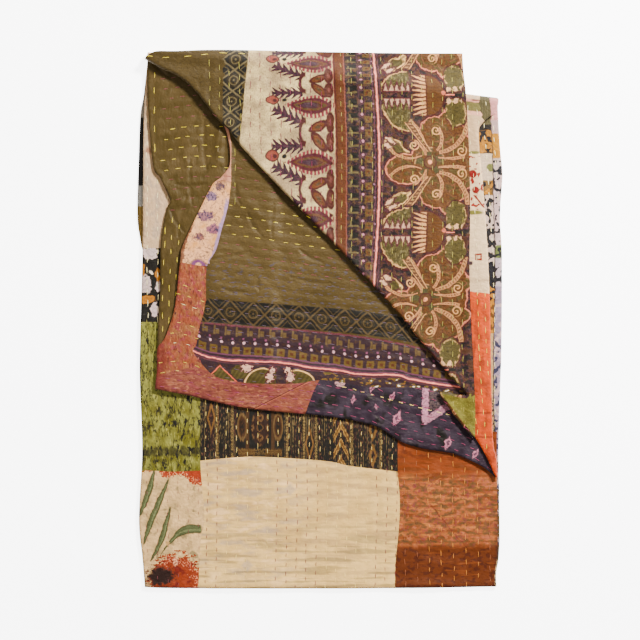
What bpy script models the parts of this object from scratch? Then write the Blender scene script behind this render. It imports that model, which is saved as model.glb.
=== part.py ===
"""A kantha quilt, folded and lying flat: one cloth, doubled along its right side, turned over at the top on
a slanted line, with the top leaf's lower left corner turned back to the upper right.

The cloth is worked out as its middle surface. Each leaf of the fold is a flat outline with a height, and
half-round strips join the leaves where the cloth turns. Solidify then gives the cloth its thickness.
Metres, +Z up, +Y towards the top fold. The origin is under the middle of the packet.
"""

import math

import bmesh
import bpy
import numpy as np
from mathutils.geometry import delaunay_2d_cdt

MM = 0.001

THICK = 2.6 * MM  # the quilted cloth
PITCH = 4.0 * MM  # from one leaf's middle to the next
TOP_OPEN = 0.35  # how much wider the leaves stand apart at the top fold
SIDE_OPEN = 0.25  # and at the side folds
TOP_REACH = 25 * MM  # how far from the top fold the leaves still stand apart
SIDE_REACH = 20 * MM
CREASE_PUFF = 3.0 * MM  # the turned-back corner rises at its crease
PUFF_REACH = 15 * MM
RIPPLE = 0.06  # uneven lie of the leaves, as a share of their height
RIPPLE_WIDE = 43 * MM  # how wide the uneven swells are from left to right, as a sine's reach
RIPPLE_LONG = 58 * MM  # and from the top to the bottom
RIPPLE_SWAY = 1.3  # how far the swells wander to a side, and up and down
RIPPLE_BEND = 1.1
RIPPLE_START = 0.7
SWAY_LONG = 110 * MM  # over this length
SWAY_WIDE = 90 * MM
CLEAR = 2.0 * MM  # draped cloth passes the top fold this far away
STEP_CLEAR = 10 * MM  # a leaf stays up this far past a hidden edge
STEP_WIDE = 26 * MM  # and then comes down over this width
TONGUE_START = 14 * MM  # this far below the top fold the tongue starts to lift the leaf on it
TONGUE_RISE = 30 * MM  # and lifts it fully this much further down
LIFT_END = -75 * MM  # the leaf above that one starts to come down here
LIFT_FALL = 90 * MM  # and is down this much further to the right
DROP_WIDE = 40 * MM  # the turned-back corner falls to the table in this width
DROP_ROWS = (12, 20, 30, 40, 52, 66)  # points on that fall, in mm past the top fold
DROP_STEP = 20 * MM  # and their spacing along it
DROP_LONG = 620 * MM
DROP_CLEAR = 6 * MM  # they keep this far from the hem
ROW_SHARE = 0.87  # the rows of inner points are closer than the points in a row
ROW_START = 0.3  # and the first row is this share of a step from the top fold
HEM_CLEAR = 0.6  # inner points keep this share of a step from the leaf's outline
CURVE_PARTS = 24  # fine points on a smooth curve between two given ones
HEM_STEP = 31 * MM  # spacing of points along hems
FOLD_STEP = 22 * MM  # and along folds
TURN_STEP = 8 * MM  # and along the short turn near the crease's end
SIDE_TURN = 4  # faces across a side fold or crease
TOP_TURN = 6  # faces across the top fold
WELD = 0.01 * MM

# Corners of the leaves, in mm.
CORNERS = {
    "top left": (-306, 465),
    "top right": (312, 384),
    "packet lower left": (-311, -475),
    "packet lower right": (310, -474),
    "under leaf lower left": (-308, -471),
    "slit": (-143.4, 443.7),
    "slit end": (-168, 392),
    "tongue turn": (-103, 318),
    "tongue lower right": (-103, -96),
    "tongue lower left": (-288, -114),
    "border corner": (-292, -123),
    "side fold end": (311, -279),
    "crease step": (261, -127),
    "crease step inner": (215, -131),
    "crease end": (274, -208),
    "turned corner": (253, 473),
}

# Each line runs from corner to corner. Its bows are (share of the way, mm to the left of the way).
LINES = {
    "top fold": ("top left", "top right", ()),
    "packet side fold": (
        "top right",
        "packet lower right",
        ((0.03, 1), (0.1, 5), (0.15, 9), (0.24, 5), (0.31, 8), (0.51, 8), (0.7, 3), (0.91, 5), (0.97, 0)),
    ),
    "packet left hem": (
        "packet lower left",
        "top left",
        ((0.06, 5), (0.13, 11), (0.26, 6), (0.4, 11), (0.5, 10), (0.65, 7), (0.88, 6), (0.95, 3)),
    ),
    "packet lower hem": ("packet lower right", "packet lower left", ((0.2, 2), (0.5, 3), (0.9, 2))),
    "under leaf left hem": (
        "under leaf lower left",
        "top left",
        ((0.11, 7), (0.45, 8), (0.61, 7), (0.65, 12), (0.7, 18), (0.8, 16), (0.89, 13), (0.93, 7)),
    ),
    "under leaf lower hem": ("packet lower right", "under leaf lower left", ((0.5, 1),)),
    "tongue left hem": (
        "tongue lower left",
        "top left",
        (
            (0.15, -3),
            (0.3, -10),
            (0.42, -13),
            (0.49, -19),
            (0.54, -27),
            (0.56, -32),
            (0.63, -16),
            (0.67, -4),
            (0.87, 2),
        ),
    ),
    "tongue lower hem": ("tongue lower right", "tongue lower left", ()),
    "tongue right edge": ("tongue turn", "tongue lower right", ((0.5, 4),)),
    "border left hem": (
        "border corner",
        "slit",
        (
            (0.06, 6),
            (0.12, 14),
            (0.16, 6),
            (0.25, 3),
            (0.39, 14),
            (0.44, 17),
            (0.56, 4),
            (0.64, -6),
            (0.67, -18),
            (0.71, -27),
            (0.76, -20),
            (0.8, -9),
            (0.84, 4),
            (0.92, 5),
        ),
    ),
    "border lower hem": (
        "side fold end",
        "border corner",
        (
            (0.05, -13),
            (0.13, -21),
            (0.21, -17),
            (0.28, -18),
            (0.37, -34),
            (0.5, -30),
            (0.64, -16),
            (0.76, -6),
            (0.9, -4),
        ),
    ),
    "upper side fold": (
        "top right",
        "side fold end",
        (
            (0.02, -3),
            (0.035, -15),
            (0.055, -29),
            (0.085, -35),
            (0.2, -28),
            (0.32, -21),
            (0.55, -14),
            (0.88, -9),
            (0.95, -2),
        ),
    ),
    "crease": (
        "top left",
        "crease step",
        (
            (0.04, 9),
            (0.08, 21),
            (0.13, 24),
            (0.2, 18),
            (0.24, 19),
            (0.31, 14),
            (0.6, 14),
            (0.76, 12),
            (0.85, 6),
            (0.95, 1),
        ),
    ),
    "crease step": ("crease step", "crease step inner", ((-0.06, 6), (0.06, 12), (0.3, 10), (0.7, 4))),
    "crease tail": ("crease step inner", "crease end", ((0.5, -1),)),
    "top leaf lower hem": ("crease end", "side fold end", ((0.4, 2),)),
    "turned right hem": (
        "crease end",
        "turned corner",
        ((0.12, -2), (0.4, 1), (0.6, -4), (0.75, -5), (0.9, -2)),
    ),
    "turned top hem": (
        "turned corner",
        "top left",
        ((0.2, -2), (0.45, -6), (0.75, -10), (0.9, -8), (0.97, -8)),
    ),
}

FOLDS = ("top fold", "packet side fold", "upper side fold", "crease", "crease tail")

# A leaf's outline, either way round, as (line, run backwards), and the spacing of its inner points in mm.
LEAVES = {
    "under leaf": (
        (
            ("top fold", False),
            ("packet side fold", False),
            ("under leaf lower hem", False),
            ("under leaf left hem", False),
        ),
        62,
    ),
    "packet leaf": (
        (
            ("top fold", False),
            ("packet side fold", False),
            ("packet lower hem", False),
            ("packet left hem", False),
        ),
        50,
    ),
    "tongue": (
        (
            ("top fold to slit", False),
            ("slit edge", False),
            ("slit return", False),
            ("tongue right edge", False),
            ("tongue lower hem", False),
            ("tongue left hem", False),
        ),
        33,
    ),
    "border leaf": (
        (
            ("top fold from slit", False),
            ("upper side fold", False),
            ("border lower hem", False),
            ("border left hem", False),
        ),
        34,
    ),
    "top leaf": (
        (
            ("top fold", False),
            ("upper side fold", False),
            ("top leaf lower hem", True),
            ("crease tail", True),
            ("crease step", True),
            ("crease", True),
        ),
        44,
    ),
    "turned corner": (
        (
            ("crease", False),
            ("crease step", False),
            ("crease tail", False),
            ("turned right hem", False),
            ("turned top hem", False),
        ),
        31,
    ),
}


def corner(name):
    return np.array(CORNERS[name], float) * MM


def smooth(t):
    """0 below 0, 1 above 1, and an even rise between."""
    t = np.clip(t, 0.0, 1.0)
    return t * t * (3 - 2 * t)


def through(points, step):
    """Evenly spaced points on a smooth curve through the given ones."""
    if len(points) == 2:
        count = max(1, round(float(np.linalg.norm(points[1] - points[0])) / step))
        return points[0] + (points[1] - points[0]) * np.linspace(0, 1, count + 1)[:, None]
    padded = np.vstack([2 * points[0] - points[1], points, 2 * points[-1] - points[-2]])
    t = np.linspace(0, 1, CURVE_PARTS, endpoint=False)[:, None]
    fine = []
    for p0, p1, p2, p3 in zip(padded, padded[1:], padded[2:], padded[3:]):
        bend = (2 * p0 - 5 * p1 + 4 * p2 - p3) * t**2 + (3 * (p1 - p2) + p3 - p0) * t**3
        fine.append(0.5 * (2 * p1 + (p2 - p0) * t + bend))
    fine = np.vstack([*fine, points[-1:]])
    along = np.concatenate([[0], np.cumsum(np.linalg.norm(np.diff(fine, axis=0), axis=1))])
    at = np.linspace(0, along[-1], max(2, round(along[-1] / step)) + 1)
    return np.stack([np.interp(at, along, fine[:, k]) for k in range(2)], axis=1)


def line_points(name):
    """The points of a named line, from its first corner to its last."""
    start, end, bows = LINES[name]
    a, b = corner(start), corner(end)
    way = b - a
    left = np.array([-way[1], way[0]]) / np.linalg.norm(way)
    through_points = [a, *(a + way * share + left * bow * MM for share, bow in bows), b]
    step = TURN_STEP if name == "crease step" else FOLD_STEP if name in FOLDS else HEM_STEP
    return through(np.array(through_points), step)


def all_lines():
    """Every line's points. The top fold is cut at the slit, where the tongue and the border leaf part."""
    lines = {name: line_points(name) for name in LINES}
    left = through(np.array([corner("top left"), corner("slit")]), FOLD_STEP)
    right = through(np.array([corner("slit"), corner("top right")]), FOLD_STEP)
    lines["top fold to slit"], lines["top fold from slit"] = left, right
    lines["top fold"] = np.vstack([left, right[1:]])
    lines["slit edge"] = through(np.array([corner("slit"), corner("slit end")]), FOLD_STEP)
    lines["slit return"] = through(np.array([corner("slit end"), corner("tongue turn")]), FOLD_STEP)
    return lines


LINE = all_lines()


def outline(leaf):
    """The leaf's outline as a closed loop of points, without the first one again at the end."""
    runs = [LINE[name][::-1] if back else LINE[name] for name, back in LEAVES[leaf][0]]
    return np.vstack([run[:-1] for run in runs])


def away(points, line, closed=False):
    """How far each point is from a line of points."""
    a = line if closed else line[:-1]
    b = np.roll(line, -1, axis=0) if closed else line[1:]
    d = b - a
    t = ((points[:, None] - a) * d).sum(2) / np.maximum((d * d).sum(1), 1e-12)
    nearest = a + np.clip(t, 0, 1)[:, :, None] * d
    return np.linalg.norm(points[:, None] - nearest, axis=2).min(axis=1)


def inside(points, loop):
    """Which points lie inside a closed loop."""
    a, b = loop, np.roll(loop, -1, axis=0)
    x, y = points[:, :1], points[:, 1:]
    spans = (a[:, 1] > y) != (b[:, 1] > y)
    rise = np.where(b[:, 1] == a[:, 1], 1e-12, b[:, 1] - a[:, 1])
    crossing = a[:, 0] + (y - a[:, 1]) * (b[:, 0] - a[:, 0]) / rise
    return (spans & (x < crossing)).sum(axis=1) % 2 == 1


TOP_EDGE = corner("top right") - corner("top left")
FOLD_WAY = TOP_EDGE / np.linalg.norm(TOP_EDGE)
FOLD_OUT = np.array([-FOLD_WAY[1], FOLD_WAY[0]])
TOP_PITCH = PITCH * (1 + TOP_OPEN)
TOP_MIDDLE = 1.5  # in leaves: the top fold turns about the middle of its four leaves
TOP_BULGE = TOP_MIDDLE * TOP_PITCH


def past_top(points):
    """How far points lie past the top fold's line, away from the packet."""
    return (points - corner("top left")) @ FOLD_OUT


def spread(points):
    """How wide the leaves stand apart: more beside the folds, and a little uneven everywhere."""
    top = np.exp(-np.maximum(-past_top(points), 0) / TOP_REACH)
    sides = np.minimum(away(points, LINE["packet side fold"]), away(points, LINE["upper side fold"]))
    x, y = points[:, 0], points[:, 1]
    across = np.sin(x / RIPPLE_WIDE + RIPPLE_SWAY * np.sin(y / SWAY_LONG))
    along = np.sin(y / RIPPLE_LONG + RIPPLE_START + RIPPLE_BEND * np.sin(x / SWAY_WIDE))
    calm = smooth(-past_top(points) / (2 * TOP_REACH))
    beside_fold = SIDE_OPEN * np.exp(-sides / SIDE_REACH) * (1 - top)
    return PITCH * (1 + TOP_OPEN * top + beside_fold + RIPPLE * (across * along) * calm)


def over_tongue(points):
    """How far the border leaf is lifted by the tongue under it, from 0 to 1."""
    loop = outline("tongue")
    outside = np.where(inside(points, loop), 0.0, away(points, loop, closed=True))
    lift = 1 - smooth((outside - STEP_CLEAR) / STEP_WIDE)
    return lift * smooth((-past_top(points) - TONGUE_START) / TONGUE_RISE)


def over_border(points):
    """The same for the leaf above it, which starts sooner and ends later."""
    lift = 1 - smooth((points[:, 0] - LIFT_END) / LIFT_FALL)
    return lift * smooth((-past_top(points) - CLEAR) / STEP_WIDE)


def height(leaf, points):
    """The height of a leaf's middle surface over the table."""
    pitch = spread(points)
    if leaf == "under leaf":
        level = np.zeros(len(points))
    elif leaf == "packet leaf":
        level = np.ones(len(points))
    elif leaf == "tongue":
        level = np.full(len(points), 2.0)
    elif leaf == "border leaf":
        level = 2 + over_tongue(points)
    elif leaf == "top leaf":
        level = 3 + over_border(points)
    else:
        level = 4 + over_border(points)
    z = THICK / 2 + pitch * level
    if leaf != "turned corner":
        return z
    z = z + CREASE_PUFF * np.exp(-away(points, crease_line()) / PUFF_REACH)
    beyond = past_top(points) - TOP_BULGE - THICK / 2 - CLEAR
    return z + (THICK / 2 - z) * smooth(beyond / DROP_WIDE)


def crease_line():
    return np.vstack([LINE["crease"], LINE["crease step"][1:], LINE["crease tail"][1:]])


def inner_points(leaf, loop):
    """Even points inside a leaf, kept off its outline, in rows beside the top fold."""
    step = LEAVES[leaf][1] * MM
    low, high = loop.min(axis=0) - step, loop.max(axis=0) + step
    size = float(np.linalg.norm(high - low))
    rows = int(size / step) + 2
    points = []
    for j in range(-rows, rows):
        for i in range(-rows, rows):
            along = (i + 0.5 * (j % 2)) * step
            down = (j * ROW_SHARE + ROW_START) * step
            points.append(corner("slit") + FOLD_WAY * along + FOLD_OUT * down)
    points = np.array(points)
    keep = inside(points, loop) & (away(points, loop, closed=True) > HEM_CLEAR * step)
    if leaf != "turned corner":
        return points[keep & (past_top(points) < 0)]
    points = points[keep & (past_top(points) < TOP_BULGE + THICK / 2)]
    along = np.arange(0, DROP_LONG, DROP_STEP)[:, None]
    drop = np.vstack([corner("top left") + FOLD_WAY * along + FOLD_OUT * past * MM for past in DROP_ROWS])
    near = away(drop, loop, closed=True)
    return np.vstack([points, drop[inside(drop, loop) & (near > DROP_CLEAR)]])


class Surface:
    """The middle surface, gathered as points and faces and welded where leaves and strips meet."""

    def __init__(self):
        self.points = []
        self.faces = []

    def add(self, points, faces):
        first = len(self.points)
        self.points.extend(tuple(float(c) for c in p) for p in points)
        self.faces.extend(tuple(first + i for i in face) for face in faces)

    def add_grid(self, grid):
        """A grid of points, rows by columns, as four-sided faces."""
        rows, columns = len(grid), len(grid[0])
        faces = [
            (r * columns + c, r * columns + c + 1, (r + 1) * columns + c + 1, (r + 1) * columns + c)
            for r in range(rows - 1)
            for c in range(columns - 1)
        ]
        self.add(np.array(grid).reshape(-1, 3), faces)


def add_leaf(surface, leaf):
    loop = outline(leaf)
    points = np.vstack([loop, inner_points(leaf, loop)])
    made = delaunay_2d_cdt([tuple(p) for p in points], [], [list(range(len(loop)))], 1, 1e-7)
    flat = np.array([tuple(v) for v in made[0]])
    surface.add(np.column_stack([flat, height(leaf, flat)]), made[2])


def out_of(line, ways=()):
    """The level direction out of a line at each point, to the left of its way, with the ends given."""
    d = np.gradient(line, axis=0)
    out = np.column_stack([-d[:, 1], d[:, 0]])
    out /= np.linalg.norm(out, axis=1)[:, None]
    for index, way in ways:
        out[index] = way
    return out


def add_turn(surface, line, out, lower, upper):
    """The half-round strip that joins two leaves along a line."""
    low, high = height(lower, line), height(upper, line)
    grid = []
    for k in range(SIDE_TURN + 1):
        angle = math.pi * k / SIDE_TURN
        reach = (high - low) / 2 * math.sin(angle)
        z = (low + high) / 2 - (high - low) / 2 * math.cos(angle)
        grid.append(np.column_stack([line + out * reach[:, None], z]))
    surface.add_grid(grid)


def top_turn_point(flat, radius, turn):
    """A point of the top fold: turned about the fold's axis from the packet over to the upper leaves."""
    middle = THICK / 2 + TOP_MIDDLE * TOP_PITCH
    level = flat + FOLD_OUT * radius * math.sin(turn)
    return (level[0], level[1], middle - radius * math.cos(turn))


def add_top_fold(surface):
    """The two strips of the top fold, one inside the other, and the side fold carried round its right end."""
    turns = [math.pi * k / TOP_TURN for k in range(TOP_TURN + 1)]
    for radius in (TOP_BULGE, TOP_PITCH / 2):
        surface.add_grid([[top_turn_point(p, radius, turn) for p in LINE["top fold"]] for turn in turns])
    middle, half = (TOP_BULGE + TOP_PITCH / 2) / 2, (TOP_BULGE - TOP_PITCH / 2) / 2
    grid = []
    for turn in turns:
        row = []
        for k in range(SIDE_TURN + 1):
            angle = math.pi * k / SIDE_TURN
            flat = corner("top right") + FOLD_WAY * half * math.sin(angle)
            row.append(top_turn_point(flat, middle + half * math.cos(angle), turn))
        grid.append(row)
    surface.add_grid(grid)


def quilt_surface():
    surface = Surface()
    for leaf in LEAVES:
        add_leaf(surface, leaf)
    for name, lower, upper in (
        ("packet side fold", "under leaf", "packet leaf"),
        ("upper side fold", "border leaf", "top leaf"),
    ):
        add_turn(surface, LINE[name], out_of(LINE[name], ((0, FOLD_WAY),)), lower, upper)
    crease = crease_line()
    add_turn(surface, crease, -out_of(crease), "top leaf", "turned corner")
    add_top_fold(surface)
    return surface


def make_quilt():
    surface = quilt_surface()
    mesh = bpy.data.meshes.new("quilt_cloth")
    mesh.from_pydata(surface.points, [], surface.faces)
    shape = bmesh.new()
    shape.from_mesh(mesh)
    bmesh.ops.remove_doubles(shape, verts=shape.verts, dist=WELD)
    bmesh.ops.recalc_face_normals(shape, faces=shape.faces)
    shape.to_mesh(mesh)
    shape.free()
    mesh.shade_smooth()
    quilt = bpy.data.objects.new("quilt_cloth", mesh)
    bpy.context.collection.objects.link(quilt)
    wall = quilt.modifiers.new("thickness", "SOLIDIFY")
    wall.thickness = THICK
    wall.offset = 0
    wall.use_even_offset = True
    wall.use_rim = True
    return quilt


def make_cotton():
    cotton = bpy.data.materials.new("quilted_cotton")
    cotton.use_nodes = True
    shader = cotton.node_tree.nodes["Principled BSDF"]
    shader.inputs["Base Color"].default_value = (0.30, 0.17, 0.09, 1)
    shader.inputs["Roughness"].default_value = 0.85
    shader.inputs["Metallic"].default_value = 0.0
    return cotton


def main():
    for thing in list(bpy.data.objects):
        bpy.data.objects.remove(thing)
    make_quilt().data.materials.append(make_cotton())


main()
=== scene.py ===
"""The looks of a folded kantha quilt: patchwork on one side, a printed sari on the other, all held together
by running stitches.

The cloth is the middle surface of every leaf of the fold, with the puckers, creases and hems worked into its
height, and a thickness. Seams, prints and rows of stitches are placed on a chart: one step of it is CELL, x
runs to the right and y runs down, and its middle lies over the middle of the packet.
"""

import math
from functools import reduce
from operator import and_, or_

import bmesh
import bpy
import numpy as np
from mathutils import Matrix, Vector, noise
from mathutils.bvhtree import BVHTree
from mathutils.geometry import delaunay_2d_cdt

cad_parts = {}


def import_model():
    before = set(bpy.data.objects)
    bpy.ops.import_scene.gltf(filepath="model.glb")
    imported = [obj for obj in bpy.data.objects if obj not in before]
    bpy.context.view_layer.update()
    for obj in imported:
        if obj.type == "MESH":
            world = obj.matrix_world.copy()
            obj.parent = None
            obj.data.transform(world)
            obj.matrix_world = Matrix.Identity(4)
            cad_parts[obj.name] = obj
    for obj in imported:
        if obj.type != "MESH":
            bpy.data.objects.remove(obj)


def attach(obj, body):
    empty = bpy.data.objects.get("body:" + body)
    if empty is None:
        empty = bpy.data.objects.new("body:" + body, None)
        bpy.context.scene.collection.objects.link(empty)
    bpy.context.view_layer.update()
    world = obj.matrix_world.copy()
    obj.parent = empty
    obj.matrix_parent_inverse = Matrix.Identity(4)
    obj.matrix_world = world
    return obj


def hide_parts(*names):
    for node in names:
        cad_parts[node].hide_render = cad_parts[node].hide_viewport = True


bl_info = {
    "name": "Kantha quilt",
    "version": (1, 0, 0),
    "blender": (4, 5, 0),
    "location": "View3D > Sidebar > Quilt",
    "description": "Builds a folded kantha quilt with its patches, prints and running stitches",
    "category": "Add Mesh",
}

MM = 0.001
CELL = 1.77 * MM  # one step of the chart
CHART_WIDE = 640  # steps across the chart, which is square
CHART_MIDDLE = (320, 319.5)

# ---------------------------------------------------------------- the fold

PITCH = 4 * MM  # from one leaf's middle to the next
FOLDED_THICK = 2.6 * MM  # the room that each leaf has in the fold
TOP_OPEN = 0.35  # share by which the leaves stand wider apart at the top fold
SIDE_OPEN = 0.25  # and at the side folds
TOP_REACH = 25 * MM  # how far from the top fold that is felt
SIDE_REACH = 20 * MM
CREASE_PUFF = 3 * MM  # rise of the turned corner along its crease
PUFF_REACH = 15 * MM
RIPPLE = 0.06  # share by which the leaves stand unevenly apart everywhere
RIPPLE_WIDE, RIPPLE_LONG = 43 * MM, 58 * MM  # the ripples' size over 2 pi, across and along
RIPPLE_SWAY = ((1.3, 110 * MM), (1.1, 90 * MM))  # how the ripples sway: by how much, and over what length
TONGUE_START, TONGUE_RISE = 14 * MM, 30 * MM  # the tongue starts to lift the border leaf past the top fold
BORDER_START, BORDER_RISE = 2 * MM, 26 * MM  # and the border leaf the leaf above it
LIFT_END, LIFT_FALL = -75 * MM, 90 * MM  # where that lift ends, to the right
CLEAR = 2 * MM
STEP_CLEAR = 10 * MM  # how far beyond the tongue its lift stays whole
STEP_WIDE = 26 * MM  # and over what width it then ends
DROP_WIDE = 40 * MM  # width over which the turned corner comes down to the table
SIDE_TURN = 8  # faces across a side fold or crease
TOP_TURN = 10  # faces across the top fold
WELD = 0.01 * MM
LINE_STEP = 5 * MM  # spacing of points along every hem, fold and seam
HIDDEN_STEP = 22 * MM  # spacing of points on cloth that other leaves cover
COVER_MARGIN = 14 * MM  # the fine cloth goes this far under the leaf above it

# Corners of the leaves, in mm.
CORNERS = {
    "top left": (-306, 465),
    "top right": (312, 384),
    "packet lower left": (-311, -475),
    "packet lower right": (310, -474),
    "under leaf lower left": (-308, -471),
    "slit": (-143.4, 443.7),
    "slit end": (-168, 392),
    "tongue turn": (-103, 318),
    "tongue lower right": (-103, -96),
    "tongue lower left": (-288, -114),
    "border corner": (-292, -123),
    "side fold end": (311, -279),
    "crease step": (261, -127),
    "crease step inner": (215, -131),
    "crease end": (274, -208),
    "turned corner": (253, 473),
}

# Each line runs from corner to corner. Its bows are (share of the way, mm to the left of the way).
LINES = {
    "packet side fold": (
        "top right",
        "packet lower right",
        ((0.03, 1), (0.1, 5), (0.15, 9), (0.24, 5), (0.31, 8), (0.51, 8), (0.7, 3), (0.91, 5), (0.97, 0)),
    ),
    "packet left hem": (
        "packet lower left",
        "top left",
        ((0.06, 5), (0.13, 11), (0.26, 6), (0.4, 11), (0.5, 10), (0.65, 7), (0.88, 6), (0.95, 3)),
    ),
    "packet lower hem": ("packet lower right", "packet lower left", ((0.2, 2), (0.5, 3), (0.9, 2))),
    "under leaf left hem": (
        "under leaf lower left",
        "top left",
        ((0.11, 7), (0.45, 8), (0.61, 7), (0.65, 12), (0.7, 18), (0.8, 16), (0.89, 13), (0.93, 7)),
    ),
    "under leaf lower hem": ("packet lower right", "under leaf lower left", ((0.5, 1),)),
    "tongue left hem": (
        "tongue lower left",
        "top left",
        ((0.15, -3), (0.3, -10), (0.42, -13), (0.49, -19), (0.54, -27))
        + ((0.56, -32), (0.63, -16), (0.67, -4), (0.87, 2)),
    ),
    "tongue lower hem": ("tongue lower right", "tongue lower left", ()),
    "tongue right edge": ("tongue turn", "tongue lower right", ((0.5, 4),)),
    "border left hem": (
        "border corner",
        "slit",
        ((0.06, 6), (0.12, 14), (0.16, 6), (0.25, 3), (0.39, 14), (0.44, 17), (0.56, 4))
        + ((0.64, -6), (0.67, -18), (0.71, -27), (0.76, -20), (0.8, -9), (0.84, 4), (0.92, 5)),
    ),
    "border lower hem": (
        "side fold end",
        "border corner",
        ((0.05, -13), (0.13, -21), (0.21, -17), (0.28, -18), (0.37, -34))
        + ((0.5, -30), (0.64, -16), (0.76, -6), (0.9, -4)),
    ),
    "upper side fold": (
        "top right",
        "side fold end",
        ((0.02, -3), (0.035, -15), (0.055, -29), (0.085, -35), (0.2, -28))
        + ((0.32, -21), (0.55, -14), (0.88, -9), (0.95, -2)),
    ),
    "crease": (
        "top left",
        "crease step",
        ((0.04, 9), (0.08, 21), (0.13, 24), (0.2, 18), (0.24, 19))
        + ((0.31, 14), (0.6, 14), (0.76, 12), (0.85, 6), (0.95, 1)),
    ),
    "crease step": ("crease step", "crease step inner", ((-0.06, 6), (0.06, 12), (0.3, 10), (0.7, 4))),
    "crease tail": ("crease step inner", "crease end", ((0.5, -1),)),
    "top leaf lower hem": ("crease end", "side fold end", ((0.4, 2),)),
    "turned right hem": (
        "crease end",
        "turned corner",
        ((0.12, -2), (0.4, 1), (0.6, -4), (0.75, -5), (0.9, -2)),
    ),
    "turned top hem": (
        "turned corner",
        "top left",
        ((0.2, -2), (0.45, -6), (0.75, -10), (0.9, -8), (0.97, -8)),
    ),
}

BACK = "back along "  # marks a line that an outline runs along from its end to its start

# The lines of each leaf's outline, in turn.
LEAVES = {
    "under leaf": ("top fold", "packet side fold", "under leaf lower hem", "under leaf left hem"),
    "packet leaf": ("top fold", "packet side fold", "packet lower hem", "packet left hem"),
    "tongue": (
        *("top fold to slit", "slit edge", "slit return"),
        *("tongue right edge", "tongue lower hem", "tongue left hem"),
    ),
    "border leaf": ("top fold from slit", "upper side fold", "border lower hem", "border left hem"),
    "top leaf": (
        *("top fold", "upper side fold", BACK + "top leaf lower hem"),
        *(BACK + "crease tail", BACK + "crease step", BACK + "crease"),
    ),
    "turned corner": ("crease", "crease step", "crease tail", "turned right hem", "turned top hem"),
}

# How many leaves each leaf has below it, without those that lift it in places only.
LEAVES_BELOW = {
    **{"under leaf": 0, "packet leaf": 1, "tongue": 2},
    **{"border leaf": 2, "top leaf": 3, "turned corner": 4},
}

# The leaves that lie on top of each leaf.
COVERED_BY = {
    "under leaf": ("packet leaf",),
    "packet leaf": ("tongue", "border leaf", "top leaf", "turned corner"),
    "tongue": ("border leaf", "top leaf", "turned corner"),
    "border leaf": ("top leaf", "turned corner"),
    "top leaf": ("turned corner",),
    "turned corner": (),
}


def corner(name):
    return np.array(CORNERS[name], float) * MM


def on_chart(points):
    """Points in metres as chart positions."""
    points = np.asarray(points, float)
    return np.column_stack([CHART_MIDDLE[0] + points[:, 0] / CELL, CHART_MIDDLE[1] - points[:, 1] / CELL])


def off_chart(points):
    """Chart positions as points in metres."""
    points = np.asarray(points, float).reshape(-1, 2)
    return np.column_stack([points[:, 0] - CHART_MIDDLE[0], CHART_MIDDLE[1] - points[:, 1]]) * CELL


def smooth(t):
    """0 below 0, 1 above 1, and an even rise between."""
    t = np.clip(t, 0, 1)
    return t * t * (3 - 2 * t)


def through(points, step):
    """Evenly spaced points on a smooth curve through the given ones."""
    points = np.asarray(points, float)
    if len(points) == 2:
        count = max(1, round(float(np.linalg.norm(points[1] - points[0])) / step))
        return points[0] + (points[1] - points[0]) * np.linspace(0, 1, count + 1)[:, None]
    padded = np.vstack([2 * points[0] - points[1], points, 2 * points[-1] - points[-2]])
    t = np.linspace(0, 1, 24, endpoint=False)[:, None]
    fine = []
    for p0, p1, p2, p3 in zip(padded, padded[1:], padded[2:], padded[3:]):
        cubic = (2 * p0 - 5 * p1 + 4 * p2 - p3) * t**2 + (3 * (p1 - p2) + p3 - p0) * t**3
        fine.append(0.5 * (2 * p1 + (p2 - p0) * t + cubic))
    fine = np.vstack([*fine, points[-1:]])
    along = np.concatenate([[0], np.cumsum(np.linalg.norm(np.diff(fine, axis=0), axis=1))])
    at = np.linspace(0, along[-1], max(2, round(along[-1] / step)) + 1)
    return np.stack([np.interp(at, along, fine[:, k]) for k in range(2)], axis=1)


def line_points(name):
    """The points of a named line, from its first corner to its last."""
    start, end, bows = LINES[name]
    a, b = corner(start), corner(end)
    way = b - a
    left = np.array([-way[1], way[0]]) / np.linalg.norm(way)
    return through([a, *(a + way * share + left * bow * MM for share, bow in bows), b], LINE_STEP)


def all_lines():
    """Every line's points. The top fold is cut at the slit, where the tongue and the border leaf part."""
    lines = {name: line_points(name) for name in LINES}
    left = through([corner("top left"), corner("slit")], LINE_STEP)
    right = through([corner("slit"), corner("top right")], LINE_STEP)
    lines["top fold to slit"], lines["top fold from slit"] = left, right
    lines["top fold"] = np.vstack([left, right[1:]])
    lines["slit edge"] = through([corner("slit"), corner("slit end")], LINE_STEP)
    lines["slit return"] = through([corner("slit end"), corner("tongue turn")], LINE_STEP)
    return lines


LINE = all_lines()


def outline(leaf):
    """The leaf's outline as a closed loop of points, without the first one again at the end."""
    runs = [LINE[name.removeprefix(BACK)][:: -1 if name.startswith(BACK) else 1] for name in LEAVES[leaf]]
    return np.vstack([run[:-1] for run in runs])


OUTLINE = {leaf: outline(leaf) for leaf in LEAVES}
CREASE = np.vstack([LINE["crease"], LINE["crease step"][1:], LINE["crease tail"][1:]])


def away(points, line, closed=False):
    """How far each point is from a line of points."""
    a = line if closed else line[:-1]
    b = np.roll(line, -1, axis=0) if closed else line[1:]
    d = b - a
    long = np.maximum((d * d).sum(1), 1e-14)
    out = []
    for part in np.array_split(points, len(points) // 4000 + 1):
        t = np.clip(((part[:, None] - a) * d).sum(2) / long, 0, 1)
        gap = part[:, None] - a - t[:, :, None] * d
        out.append(np.sqrt((gap * gap).sum(2).min(axis=1)))
    return np.concatenate(out)


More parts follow.
